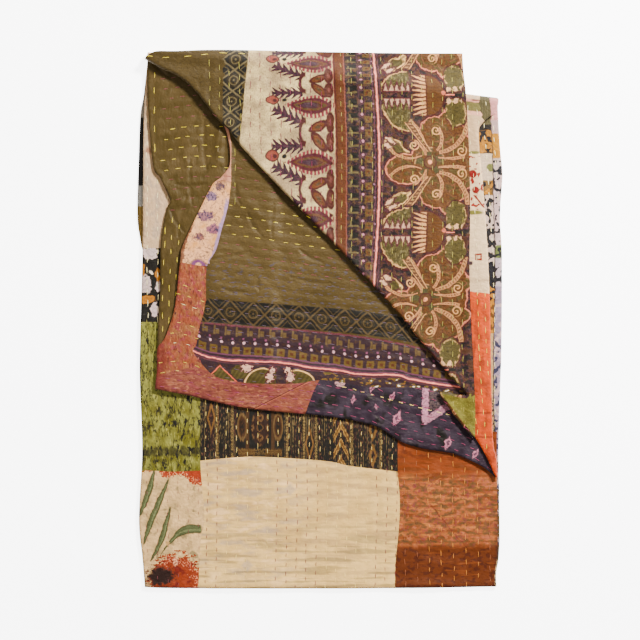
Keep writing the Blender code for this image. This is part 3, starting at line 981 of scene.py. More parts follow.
def grain_mesh(segments=6, rings=5):
    """One stitch, 1 long, 1 wide and 1 high: a flat-bellied grain of thread."""
    mesh = bpy.data.meshes.new("stitch_grain")
    shape = bmesh.new()
    bmesh.ops.create_uvsphere(shape, u_segments=segments, v_segments=rings, radius=0.5)
    for vertex in shape.verts:
        x, y, z = vertex.co
        vertex.co = (z, x, y)
    for vertex in shape.verts:
        fat = 1 - abs(vertex.co.x * 2) ** 3
        round_now = math.hypot(vertex.co.y, vertex.co.z)
        if round_now > 1e-6:
            grow = 0.5 * max(fat, 0) ** 0.5 / round_now
            vertex.co.y *= grow
            vertex.co.z *= grow
    bmesh.ops.recalc_face_normals(shape, faces=shape.faces)
    shape.to_mesh(mesh)
    shape.free()
    mesh.shade_smooth()
    return mesh


def make_stitches(thread, places, width, material):
    """All stitches of one thread as one mesh, laid by Geometry Nodes on points with a turn and a size."""
    mesh = bpy.data.meshes.new("points")
    mesh.from_pydata([tuple(p[1] + p[3] * 0.12 * width) for p in places], [], [])
    turn = mesh.attributes.new("turn", "FLOAT_VECTOR", "POINT")
    size = mesh.attributes.new("size", "FLOAT_VECTOR", "POINT")
    for i, (_, _, way, normal, length, wide) in enumerate(places):
        side = normal.cross(way).normalized()
        turn.data[i].vector = tuple(Matrix((way, side, normal)).transposed().to_euler())
        size.data[i].vector = (length, width * wide, width * wide * 0.62)
    stitches = bpy.data.objects.new(f"stitches_{thread}", mesh)
    bpy.context.collection.objects.link(stitches)
    grain = bpy.data.objects.new("grain", grain_mesh())
    bpy.context.collection.objects.link(grain)
    tree = bpy.data.node_groups.new("lay_stitches", "GeometryNodeTree")
    tree.interface.new_socket("Geometry", in_out="INPUT", socket_type="NodeSocketGeometry")
    tree.interface.new_socket("Grain", in_out="INPUT", socket_type="NodeSocketObject")
    tree.interface.new_socket("Geometry", in_out="OUTPUT", socket_type="NodeSocketGeometry")
    nodes, links = tree.nodes, tree.links
    start, finish = nodes.new("NodeGroupInput"), nodes.new("NodeGroupOutput")
    info = nodes.new("GeometryNodeObjectInfo")
    place = nodes.new("GeometryNodeInstanceOnPoints")
    real = nodes.new("GeometryNodeRealizeInstances")
    paint = nodes.new("GeometryNodeSetMaterial")
    paint.inputs["Material"].default_value = material
    links.new(start.outputs["Geometry"], place.inputs["Points"])
    links.new(start.outputs["Grain"], info.inputs["Object"])
    links.new(info.outputs["Geometry"], place.inputs["Instance"])
    for name, socket in (("turn", "Rotation"), ("size", "Scale")):
        read = nodes.new("GeometryNodeInputNamedAttribute")
        read.data_type = "FLOAT_VECTOR"
        read.inputs["Name"].default_value = name
        links.new(read.outputs["Attribute"], place.inputs[socket])
    links.new(place.outputs["Instances"], real.inputs["Geometry"])
    links.new(real.outputs["Geometry"], paint.inputs["Geometry"])
    links.new(paint.outputs["Geometry"], finish.inputs["Geometry"])
    lay = stitches.modifiers.new("lay", "NODES")
    lay.node_group = tree
    for item in tree.interface.items_tree:
        if item.in_out == "INPUT" and item.name == "Grain":
            lay[item.identifier] = grain
    depsgraph = bpy.context.evaluated_depsgraph_get()
    solid = bpy.data.meshes.new_from_object(stitches.evaluated_get(depsgraph))
    stitches.modifiers.remove(lay)
    stitches.data = solid
    for name in ("turn", "size"):
        if name in solid.attributes:
            solid.attributes.remove(solid.attributes[name])
    bpy.data.objects.remove(grain)
    bpy.data.node_groups.remove(tree)
    return stitches


# ---------------------------------------------------------------- looks

STUDIO = 2.65  # how brightly the studio light falls on a level cloth
# How bright a grey looks, 0 to 255, for the light that comes from it.
LIGHTS = (0, 0.01, 0.02, 0.04, 0.08, 0.12, 0.18, 0.25, 0.35, 0.5, 0.7, 1, 1.5, 2, 3, 4, 6)
SHADES = (0, 18, 32, 51, 76, 96, 118, 136, 153, 170, 184, 197, 209, 217, 227, 233, 241)
PALER = 1.36  # a colour looks this much stronger than its light is
SPILL = 0.2  # share of each colour that spills into the others
GLOSS = np.array([0.03, 0.025, 0.02])  # light that the cloth's own shine adds


def dye(red, green, blue):
    """A base colour from how the cloth looks under the studio light, 0 to 255 a channel."""
    look = np.array([red, green, blue], float)
    light = np.interp(look.mean() + (look - look.mean()) / PALER, SHADES, LIGHTS)
    light = (light - SPILL * light.mean()) / (1 - SPILL) - GLOSS
    return tuple(float(c) for c in np.clip(light / STUDIO, 0.002, 0.9))


def operator(operation, turned=False):
    """A method of Wire for one Math operation, with the operands turned round if need be."""

    def method(self, *others):
        return self.net.math(operation, *((*others, self) if turned else (self, *others)))

    return method


class Wire:
    """A number in a node tree, with arithmetic. The larger of two numbers is a | b, the smaller a & b."""

    def __init__(self, net, socket):
        self.net = net
        self.socket = socket

    __add__ = __radd__ = operator("ADD")
    __sub__, __rsub__ = operator("SUBTRACT"), operator("SUBTRACT", turned=True)
    __mul__ = __rmul__ = operator("MULTIPLY")
    __truediv__, __rtruediv__ = operator("DIVIDE"), operator("DIVIDE", turned=True)
    __pow__, __abs__ = operator("POWER"), operator("ABSOLUTE")
    __or__, __and__ = operator("MAXIMUM"), operator("MINIMUM")
    sin, cos, fract = operator("SINE"), operator("COSINE"), operator("FRACT")

    def __neg__(self):
        return self * -1

    def wrap(self, half):
        """Repeats from -half to half."""
        return self.net.math("WRAP", self, half, -half)

    def rise(self, low, high):
        """0 at low, 1 at high, even between."""
        inputs = {0: self, 1: low, 2: high}
        node = self.net.node("ShaderNodeMapRange", {"interpolation_type": "SMOOTHSTEP"}, inputs)
        return Wire(self.net, node.outputs[0])

    def cut(self, soft=0.9):
        """1 where a distance is below 0, with a soft edge."""
        return self.net.math("MULTIPLY_ADD", self, -1 / soft, 0.5, clamp=True)

    def band(self, low, high, soft=0.9):
        return (abs(self - (low + high) / 2) - (high - low) / 2).cut(soft)


class Net:
    """One material's node tree. u and v are chart positions, read from Object coordinates."""

    def __init__(self, name):
        self.material = bpy.data.materials.new(name)
        self.material.use_nodes = True
        self.tree = self.material.node_tree
        self.shader = self.tree.nodes["Principled BSDF"]
        place = self.node("ShaderNodeTexCoord").outputs["Object"]
        axes = self.node("ShaderNodeSeparateXYZ", {}, {0: place})
        self.u = Wire(self, axes.outputs[0]) / CELL + CHART_MIDDLE[0]
        self.v = CHART_MIDDLE[1] - Wire(self, axes.outputs[1]) / CELL

    def node(self, kind, settings=None, inputs=None):
        """Makes a node of any type: its type, then its settings, then its inputs."""
        node = self.tree.nodes.new(kind)
        for name, value in (settings or {}).items():
            setattr(node, name, value)
        for key, value in (inputs or {}).items():
            self.put(node.inputs[key], value)
        return node

    def put(self, socket, value):
        if isinstance(value, Wire):
            value = value.socket
        if isinstance(value, bpy.types.NodeSocket):
            self.tree.links.new(value, socket)
        elif isinstance(value, tuple) and len(value) == 3 and socket.type == "RGBA":
            socket.default_value = (*value, 1)
        else:
            socket.default_value = value

    def math(self, operation, *values, clamp=False):
        inputs = dict(enumerate(values))
        node = self.node("ShaderNodeMath", {"operation": operation, "use_clamp": clamp}, inputs)
        return Wire(self, node.outputs[0])

    def vector(self, x, y, z=0):
        return self.node("ShaderNodeCombineXYZ", {}, {0: x, 1: y, 2: z}).outputs[0]

    def far(self, x, y):
        """How far a point is from the middle of its own axes."""
        node = self.node("ShaderNodeVectorMath", {"operation": "LENGTH"}, {0: self.vector(x, y)})
        return Wire(self, node.outputs["Value"])

    def disc(self, x, y, radius, soft=0.9):
        return (self.far(x, y) - radius).cut(soft)

    def oval(self, x, y, long, high):
        """Distance outside an oval, below 0 in it."""
        return (self.far(x / long, y / high) - 1) * min(long, high)

    def turned(self, x, y, degrees):
        """Axes turned by an angle, as (along, across)."""
        c, s = math.cos(math.radians(degrees)), math.sin(math.radians(degrees))
        return x * c + y * s, y * c - x * s

    def arc(self, x, y, cx, cy, radius, first, last, half):
        """Distance outside a curved band about a middle, between two angles, below 0 in it."""
        along, across = self.turned(x - cx, y - cy, (first + last) / 2)
        angle = abs(self.math("ARCTAN2", across, along))
        past = (angle - math.radians(last - first) / 2) * radius
        return abs(self.far(along, across) - radius) - half | past

    def noise(self, size, stretch=(1, 1), detail=2, seed=0, rough=0.5, u=None, v=None):
        """Cloudy unevenness, about 0.5 in the middle, with lumps of a size in chart steps."""
        u, v = u or self.u, v or self.v
        where = self.vector(u / (size * stretch[0]), v / (size * stretch[1]), seed)
        inputs = {"Vector": where, "Scale": 1, "Detail": detail, "Roughness": rough}
        return Wire(self, self.node("ShaderNodeTexNoise", {}, inputs).outputs[0])

    def wobble(self, by, size, seed=3):
        """The chart's axes, drawn a little unevenly as by hand."""
        where = self.vector(self.u / size, self.v / size, seed)
        inputs = {"Vector": where, "Scale": 1, "Detail": 1.0}
        colour = self.node("ShaderNodeTexNoise", {}, inputs).outputs[1]
        parts = self.node("ShaderNodeSeparateXYZ", {}, {0: colour})
        du, dv = Wire(self, parts.outputs[0]), Wire(self, parts.outputs[1])
        return self.u + (du - 0.5) * (2 * by), self.v + (dv - 0.5) * (2 * by)

    def curve(self, value, points):
        """A guide line: the height at a position along it, through the given points."""
        xs, ys = [p[0] for p in points], [p[1] for p in points]
        x0, x1, y0, y1 = min(xs), max(xs), min(ys) - 1, max(ys) + 1
        node = self.node("ShaderNodeFloatCurve", {}, {"Value": (value - x0) / (x1 - x0)})
        line = node.mapping.curves[0]
        for i, (x, y) in enumerate(points):
            at = ((x - x0) / (x1 - x0), (y - y0) / (y1 - y0))
            if 0 < i < len(points) - 1:
                line.points.new(*at)
            else:
                line.points[0 if i == 0 else -1].location = at
        node.mapping.update()
        return Wire(self, node.outputs[0]) * (y1 - y0) + y0

    def mix(self, under, over, mask):
        """One colour over another where a mask is 1. A colour is a socket or (red, green, blue)."""
        under, over = (dye(*c) if isinstance(c, tuple) else c for c in (under, over))
        node = self.node("ShaderNodeMix", {"data_type": "RGBA"}, {0: mask, 6: under, 7: over})
        return node.outputs[2]

    def layers(self, colour, *pairs, inside=None):
        """Prints one (mask, colour) after another over a ground colour, or only inside a further mask."""
        for mask, over in pairs:
            colour = self.mix(colour, over, mask if inside is None else mask * inside)
        return colour

    def near_line(self, x0, y0, x1, y1):
        """How far a point is from a wrinkle that runs between two chart positions, thinner at its ends."""
        dx, dy = x1 - x0, y1 - y0
        u, v = self.u - x0, self.v - y0
        square = dx * dx + dy * dy
        share = ((u * (dx / square) + v * (dy / square)) | 0) & 1
        bow = (share * math.pi).sin()
        return self.far(u - share * dx + bow * 1.2, v - share * dy - bow * 1.2) + (1 - bow) * 1.1

    def finish(self, colour, rough=0.6, ink=0, wear=0.3, weave=1, wrinkle=1, way=(1, 1), slub=0, lines=()):
        """The cloth itself: worn and inky colour, weave, slubs, small wrinkles and a few sharp ones, with
        painted shade: lighter on the small wrinkles' ridges, darker in their troughs and along the sharp
        ones.
        """
        cloud = self.noise(16, detail=3, seed=5)
        fine = self.noise(2.2, (2.2, 0.8), seed=9)
        tone = 1 + (cloud - 0.5) * (0.55 * wear) + (fine - 0.5) * (0.8 * wear)
        if ink:
            tone = tone * (1 - self.noise(1.5, (0.8, 1.4), seed=52).rise(0.48, 0.62) * ink)
        crumple = self.noise(7, way, detail=3, seed=2, rough=0.55)
        folds = abs(crumple - 0.5)
        small = self.noise(3, way, seed=12)
        threads = (self.u * 9.5).sin() * (self.v * 9.5).sin()
        # Painted shading of the small wrinkles: the colour follows their height, lighter on the ridges and
        # darker in the troughs.
        tone = tone * (1 + ((folds - 0.1) * 1.1 + (small - 0.5) * 0.25) * wrinkle)
        rise = folds * (2.2 * wrinkle) + (small - 0.5) * (0.9 * wrinkle) + threads * (0.035 * weave)
        # Painted shade along the sharp wrinkles: the colour darkens on each line, which is also a trough in
        # the bump.
        if lines:
            near = reduce(and_, lines)
            tone = tone * (near.rise(-0.2, 1.6) * 0.36 + 0.64)
            rise = rise + near.rise(0, 4) * 1.1
        if slub:
            slubs = self.noise(1.6, (14, 1), seed=21)
            tone = tone * (1 + (slubs - 0.5) * slub)
            rise = rise + (slubs - 0.5) * (0.8 * slub)
        scaled = self.node("ShaderNodeVectorMath", {"operation": "SCALE"}, {0: colour, 3: tone})
        self.put(self.shader.inputs["Base Color"], scaled.outputs[0])
        self.put(self.shader.inputs["Roughness"], (cloud - 0.5) * 0.3 + rough)
        bump = self.node("ShaderNodeBump", {}, {"Strength": 1, "Distance": MM, "Height": rise})
        self.put(self.shader.inputs["Normal"], bump.outputs[0])
        self.shader.inputs["Sheen Weight"].default_value = 0.04
        self.shader.inputs["Sheen Tint"].default_value = (1, 0.84, 0.62, 1)
        self.shader.inputs["Specular IOR Level"].default_value = 0.2
        self.shader.inputs["Specular Tint"].default_value = (1, 0.88, 0.7, 1)
        return self.material


# Colours as they look under the studio light, 0 to 255 a channel. The looks give theirs in the same way.
OLIVE = (109, 83, 43)
OLIVE_DEEP = (84, 64, 36)
BLACKISH = (36, 27, 25)
AUBERGINE = (76, 52, 56)
MAROON = (104, 46, 44)
PINK = (228, 176, 158)
CREAM = (220, 200, 160)
GROUND = (208, 196, 162)
LEAF_GREEN = (118, 100, 48)
WHITE = (222, 214, 202)

# Sharp wrinkles of the olive cloth, from one chart position to another. Each is a trough in the bump and a
# painted dark line of shade.
TONGUE_SHADED_WRINKLES = (
    (204, 120, 206, 168),
    (223, 126, 219, 150),
    (225, 138, 227, 176),
    (190, 160, 192, 204),
    (176, 184, 206, 184),
    (170, 208, 184, 232),
    (186, 196, 178, 236),
    (152, 60, 168, 76),
)
FIELD_SHADED_WRINKLES = (
    (212, 259, 250, 252),
    (226, 277, 241, 273),
    (258, 279, 259, 290),
    (291, 277, 330, 283),
    (274, 205, 272, 236),
    (248, 214, 262, 236),
    (236, 186, 240, 204),
    (300, 250, 322, 262),
    (222, 288, 246, 292),
)


def olive(net):
    stain = net.noise(30, seed=4).rise(0.4, 0.7)
    colour = net.layers(
        OLIVE,
        (stain, (121, 94, 51)),
        (net.noise(9, (0.8, 1.6), seed=34).rise(0.52, 0.68), (102, 78, 38)),
    )
    # Sharp wrinkles with painted shade along them.
    lines = [net.near_line(*line) for line in TONGUE_SHADED_WRINKLES]
    return net.finish(colour, rough=0.5, wear=0.3, wrinkle=0.55, way=(0.8, 1.4), lines=lines)


# The flower's curved ladders: middle, radius, first and last angle in degrees, and half width.
FLOWER_ARCS = (
    (5, 42, 32.5, -84, 0, 2.1),
    (20, 64, 60, -102, -76, 1.5),
    (-48, 8, 43.5, -2, 50, 1.9),
    (-20, 30, 26, -140, -62, 1.3),
    (-6, 24, 18, -46, 34, 1.7),
    (-26, 2, 22, 18, 62, 1.3),
)


def flower(net, x, y):
    """A printed flower with scrolls in its petals: a list of (mask, colour)."""
    r = net.far(x, y)
    turn = net.math("ARCTAN2", y, x)
    m = abs(y)
    ragged = net.noise(5, detail=1, seed=57) * 6 - 3
    spike = (abs(x - 15.5) * 1.3 + m - 52) * 0.6 | 34 - m
    side_spike = (abs(m - 16) * 0.9 + x - 47) * 0.7 | 20 - x
    edge = net.oval(x - 6, m - 30, 16, 15) & net.oval(x - 22, m, 19, 30) & (r - 20) & spike
    edge = edge & side_spike & net.oval(x - 25, m - 30, 12, 9)
    edge = (edge & net.oval(x + 25, y - 7, 19, 15)) + ragged * 0.6
    ladders = reduce(and_, [net.arc(x, m, *arc) for arc in FLOWER_ARCS]) + r.rise(30, 8) * 0.9
    curls = []
    for cx, cy in ((6.3, 32), (31.5, 11.5), (-16, 17)):
        ring = net.far(x - cx, m - cy)
        spin = net.math("ARCTAN2", m - cy, x - cx)
        spiral = abs((ring / 3.4 - spin / (2 * math.pi)).fract() - 0.5) - 0.17
        curls.append(spiral.cut(0.25) * (ring - 5.4).cut())
    ribs = (turn * 5 + 0.6).sin().cut(0.5)
    patch = net.noise(8, seed=8).rise(0.48, 0.56)
    hatch = net.noise(2.4, (1, 1), seed=38).rise(0.53, 0.6)
    inside_edge = edge.cut()
    return (
        (inside_edge, (138, 80, 42)),
        (inside_edge * patch * 0.9, (116, 92, 44)),
        (inside_edge * hatch * 0.6, (98, 52, 34)),
        (edge.band(-0.6, 0.5), (216, 164, 138)),
        (edge.band(0.9, 2.2), MAROON),
        (edge.band(-5.2, -4.7) * patch * 0.7, (190, 120, 92)),
        (r.band(6.5, 15) * ribs, (104, 94, 52)),
        (r.band(14.4, 15.4) * ribs, (206, 170, 124)),
        ((ladders - 0.8).cut(), (112, 60, 42)),
        (ladders.cut(), (214, 178, 136)),
        ((ladders + 0.6).cut() * 0.85, (140, 86, 52)),
        ((ladders + 0.9).cut() * (r * 2.2).sin().cut(0.5), (206, 168, 122)),
        (reduce(or_, curls), (216, 186, 142)),
        ((r - 6.4).cut(), (134, 84, 50)),
        (r.band(5.6, 6.6), MAROON),
        ((r - 2).cut(), (222, 184, 152)),
    )


def fan(net, x, y, wide, high):
    """A fan leaf that opens away from the axis, with white flames along its edge there. x and y run from its
    inner corner."""
    rough = net.noise(5, seed=27) * 5 - 2.5
    shape = net.far(x / wide, y / high) * 28 - 28 + rough | -y | -x
    vein = ((net.math("ARCTAN2", y, x + 0.1) * 17 + y * 0.2).sin() * 0.5 - 0.12).cut(0.4)
    jag = net.noise(2.6, detail=1, seed=53) * 5 - 2.5
    flame = (abs((x - 1).wrap(2.8)) - (7.5 - y) * 0.32 + jag * 0.5 | 0.6 - y) | x - (wide - 3) | -x
    leaf = shape.cut()
    return (
        ((shape - 2).cut() * (y + 1).rise(0, 1) * (x + 1).rise(0, 1), MAROON),
        (leaf, LEAF_GREEN),
        (leaf * vein * 0.6, (86, 70, 38)),
        (leaf * net.noise(2.4, (0.7, 1.6), detail=1, seed=18).rise(0.56, 0.62), (152, 136, 84)),
        (shape.band(-1, 0.1) * (x - 1).rise(0, 1), (212, 186, 140)),
        ((flame - 1.3).cut(), (116, 46, 56)),
        (flame.cut(), (206, 180, 156)),
    )


def branch(net, x, y, start, end, reach, count):
    """A leafy branch: slanted lobes on both sides of a line."""
    dx, dy = end[0] - start[0], end[1] - start[1]
    long = math.hypot(dx, dy)
    along = ((x - start[0]) * dx + (y - start[1]) * dy) / long
    across = ((y - start[1]) * dx - (x - start[0]) * dy) / long
    side = abs(across)
    lobe = ((along + side * 0.9) * (2 * math.pi * count / long)).sin() * reach * 0.5 + reach * 0.5
    return (side - lobe * 0.85 - 1.7).cut() * along.band(0, long)


def lattice(net, p, q, tall, pitch, line, teeth=0):
    """A row of diamonds with a ring in each, dark on olive. p runs along the row, q across it."""
    p = p.wrap(pitch / 2)
    diamond = abs(p) / (pitch / 2) + abs(q) / tall
    ring = net.far(p, q)
    row = (abs(q) - tall + abs(p.wrap(pitch / 4)) * teeth).cut()
    lines = abs(diamond - 1) - 0.1
    petals = (net.math("ARCTAN2", q, p) * 6).cos() * 0.8
    return (
        (row, BLACKISH),
        (row * (abs(diamond - 1.42) - 0.05).cut(0.1) * 0.7, line),
        (row * lines.cut(0.12), line),
        ((ring - 6.6).cut(), OLIVE_DEEP),
        (ring.band(5, 6), BLACKISH),
        (ring.band(3.9, 4.9), line),
        ((ring - petals - 2.6).cut(), BLACKISH),
        ((ring - 1).cut(), line),
    )


def sari_pallu(net):
    """The turned corner's print: lattice, trees, beads, stripes and the flower border, from left to right."""
    u, v = net.wobble(1, 6)
    shift = v.rise(50, 150) * 3.0
    above = (104 - v) | 0
    t = (v - above * 0.39 - 104).wrap(28.5)
    edge = 249 - (v - 50) * 0.1
    cloudy = net.noise(22, seed=6).rise(0.35, 0.65)
    colour = net.mix(OLIVE, (104, 78, 40), cloudy)
    diamonds = lattice(net, v - 60, u - edge + 12, 13.5, 21, (146, 126, 82), 0.9)
    colour = net.layers(colour, *diamonds, inside=(u - 223).rise(-0.5, 0.5))
    ground = (edge - u).cut() * (u - 372).cut()
    colour = net.mix(colour, net.mix(GROUND, (188, 168, 132), cloudy), ground)
    share = (u - 310) / 18.5
    body = abs(t - 1.5) / (share * 1.9 + 6.4 | 2) + share * share - 1.0
    fringe = body.band(0.3, 0.95, 0.15) * ((u * 1.65).sin() * 0.5 - 0.2).cut(0.5)
    trunk = (net.far((u - 305), (abs(t) - 28) * 0.45) - 5).band(-1.5, 1.5)
    along_a, across_a = net.turned(u - 318, t - 23, -28)
    along_b, across_b = net.turned(u - 319, t + 19, 52)
    leaf_a = net.oval(along_a, across_a, 7.5, 3.6)
    leaf_b = net.oval(along_b, across_b, 9, 3.6)
    bead = net.oval(u - 327.8 - shift, abs(t) - 18.6, 4.2, 9.4)
    gap = net.far(u - 328.3 - shift, abs(t) - 2.6) - 1.7
    head = net.oval(u - 272.5, t + 5, 7, 6.2)
    upper = branch(net, u, t, (272, -14), (303, -15), 7.4, 5)
    lower = branch(net, u, t, (273, 5), (303, 20), 7.4, 5)
    thorn = net.noise(2.2, detail=1, seed=45).rise(0.5, 0.56)
    colour = net.layers(
        colour,
        ((upper | lower), (96, 48, 60)),
        ((upper | lower) * thorn, (62, 34, 48)),
        ((trunk * (u - 306).cut()), MAROON),
        (fringe, (170, 66, 76)),
        ((body - 0.4).cut(0.2), (112, 42, 50)),
        ((body + 0.12).cut(0.2), (132, 72, 42)),
        ((body + 0.2).cut(0.2) * net.noise(4, detail=1, seed=58).rise(0.5, 0.58), (108, 84, 44)),
        ((body + 0.5).cut(0.25) * (u - 318).rise(3, -3), (88, 52, 62)),
        (body.band(-0.62, -0.5, 0.1), (96, 44, 46)),
        ((leaf_a - 1.5).cut(), MAROON),
        ((leaf_b - 1.5).cut(), MAROON),
        ((leaf_a + 0.3).cut(), (144, 78, 44)),
        ((leaf_b + 0.3).cut(), (144, 78, 44)),
        ((leaf_a + 2.2).cut(), (108, 76, 48)),
        ((leaf_b + 2.2).cut(), (108, 76, 48)),
        ((bead - 0.6).cut(), MAROON),
        ((bead + 0.8).cut(), (120, 58, 46)),
        ((bead + 2.8).cut(), (158, 88, 74)),
        (gap.cut(), MAROON),
        (head.cut(), MAROON),
        ((head + 1.3).cut(), (178, 92, 70)),
        (net.disc(u - 275, t + 4.4, 2.2), MAROON),
        (net.disc(u - 284.5, t + 4.5, 2.4), BLACKISH),
        inside=ground * (u - 334).cut(),
    )
    s = u - shift
    q = (v - ((86 - v) | 0) * 0.9).wrap(6.65)
    comb = s.band(345.5, 355.5) * (abs(q) - 0.8).cut() | s.band(347, 348.6) * (abs(q + 2.8) - 2.4).cut()
    square = (abs(s - 366) * 0.9 | abs(q)) - 4.2 + net.noise(3, detail=1, seed=47) * 1.6
    pink_line = u - 373.4 - ((v - 50) * (math.pi / 240)).sin() * 6.0
    dark = (s - 343).cut() * -1 + 1
    mottle = net.noise(4, seed=48)
    colour = net.layers(
        colour,
        (dark, (56, 38, 40)),
        (dark * mottle.rise(0.53, 0.59), (112, 72, 48)),
        (dark * mottle.band(0.475, 0.495, 0.02) * 0.6, (150, 84, 104)),
        (s.band(332.4, 343.8), (186, 112, 92)),
        (s.band(333.2, 343), (132, 66, 40)),
        (s.band(333.2, 334.4), MAROON),
        (((abs(s - 351) * 0.8 | abs(q + 6.6) - 1.5) - 3.4).cut() * dark, (44, 36, 32)),
        (comb * dark, (142, 122, 70)),
        (s.band(356.6, 357.4) * dark * 0.4, (128, 76, 84)),
        ((net.far(s - 360, q + 5) - 3).band(-0.4, 0.4) * dark, (124, 68, 80)),
        (square.cut() * dark, (136, 100, 50)),
        ((square + 1).cut() * dark * net.noise(3.2, detail=1, seed=60).rise(0.46, 0.54), (138, 72, 40)),
        (net.disc(s - 366, q, 1.1) * dark * 0.7, (64, 40, 34)),
        (net.disc(s - 360, q + 5, 1.4) * dark, (204, 160, 172)),
        (net.disc(s - 371.5, q + 2, 0.9) * dark, (180, 140, 156)),
        (pink_line.band(-4.2, -3.6), (150, 80, 104)),
        (pink_line.band(-1.8, 1.5), (160, 84, 82)),
        (pink_line.band(-0.8, 0.7), (230, 186, 172)),
        (pink_line.band(3, 3.8), (138, 76, 88)),
    )
    f = u - (((v - 50) * (math.pi / 240)).sin() * 4.2 - 4.2)
    border = (pink_line - 5).cut() * -1 + 1
    mirror = (v - 95.5).wrap(68.5)
    m = abs(mirror)
    w = (v - 162.5).wrap(68.5)
    below_axis = mirror.rise(-0.5, 0.5)
    scroll_work = net.noise(6, seed=44)
    taper = (f - 412.5) * 0.13 & 1.35
    tooth = abs((mirror + (f - 422) * (mirror * 0.02)).wrap(2.1)) - taper | abs(f - 421.5) - 7 | m - 20
    half = net.oval(f - 428, mirror, 17.5, 20) | (428.5 - f)
    hatch = ((mirror * 1.9).sin() * 0.5 - 0.1).cut(0.5)
    side_leaf = net.oval(f - 457, m - 17, 10.5, 14) + (scroll_work - 0.5) * 5 | 4 - m
    jag = net.noise(2.4, detail=1, seed=56) * 6 - 3
    drops = net.far((f - 450).wrap(3.6), m - 6) - 2.4 + jag * 0.7 | abs(f - 455) - 8.0
    shapes = [
        (scroll_work.rise(0.55, 0.59), (108, 62, 44)),
        (scroll_work.band(0.53, 0.55, 0.02) * 0.6, (160, 84, 88)),
        (scroll_work.rise(0.42, 0.38) * 0.8, (46, 30, 38)),
    ]
    for sign, x, y in ((1, 396, -15), (-1, 398, 38)):
        along, across = net.turned(f - x, w - y, 32 * sign)
        bud = net.oval(along, across, 12.5, 5.8) + (scroll_work - 0.5) * 6.0
        tips = net.oval(along + 8, abs(across) - 3, 4.5, 1.7) + jag * 0.6
        shapes += [
            ((bud - 1.4).cut(), MAROON),
            (bud.cut(), LEAF_GREEN),
            (bud.band(-1.2, 0.2), CREAM),
            (bud.cut() * ((across * 1.6).sin()).cut(0.5) * 0.6, (92, 76, 40)),
            ((tips - 1.2).cut(), (110, 48, 54)),
            (tips.cut(), (214, 190, 166)),
        ]
    shapes += fan(net, 411 - f, m - 3.5, 29, below_axis * 12 + 21)
    ladder = abs(f - 408 - (m - 26) * 0.72) - 4.2 + (m - 27) * 0.07
    run = m.band(27, 56)
    shapes += flower(net, f - 430, w)
    shapes += [
        (ladder.cut() * run, (126, 76, 50)),
        (ladder.band(-1, 0) * run, (214, 182, 138)),
        ((ladder + 2.2).cut() * run * ((m * 1.9).sin()).cut(0.6) * 0.7, (200, 164, 120)),
        ((tooth - 1).cut(), MAROON),
        (tooth.cut(), (214, 184, 142)),
        ((half - 1.2).cut(), MAROON),
        (half.cut(), (136, 80, 36)),
        (half.cut() * hatch * 0.4, (112, 62, 30)),
        (net.disc(f - 445, mirror + 2, 2.2), (214, 150, 120)),
        ((m - 1.4).cut() * f.band(447, 463), BLACKISH),
        ((m - 0.5).cut() * f.band(447, 456), PINK),
        ((side_leaf - 1.2).cut() * f.rise(446, 447), MAROON),
        (side_leaf.cut() * f.rise(446, 447), LEAF_GREEN),
        (side_leaf.cut() * f.rise(446, 447) * jag.rise(0.3, 0.9) * 0.7, (84, 68, 38)),
        (side_leaf.band(-1, -0.1) * f.rise(446, 447) * scroll_work.rise(0.46, 0.54), (206, 180, 132)),
        (drops.cut(), (214, 190, 160)),
    ]
    colour = net.layers(colour, *shapes, inside=border)
    return net.finish(colour, rough=0.6, wear=0.55, wrinkle=0.8, way=(1.3, 0.9), ink=0.3)


PINK_ROW = (
    *((195, 351.4), (225, 359.5), (252, 361), (284, 362.8), (311, 367.5)),
    *((337, 370), (360, 374), (396, 375), (411, 379), (470, 388)),
)
LATTICE_ROW = ((195, 309), (253, 314), (310, 318), (350, 321.5), (394, 327.5), (440, 338))


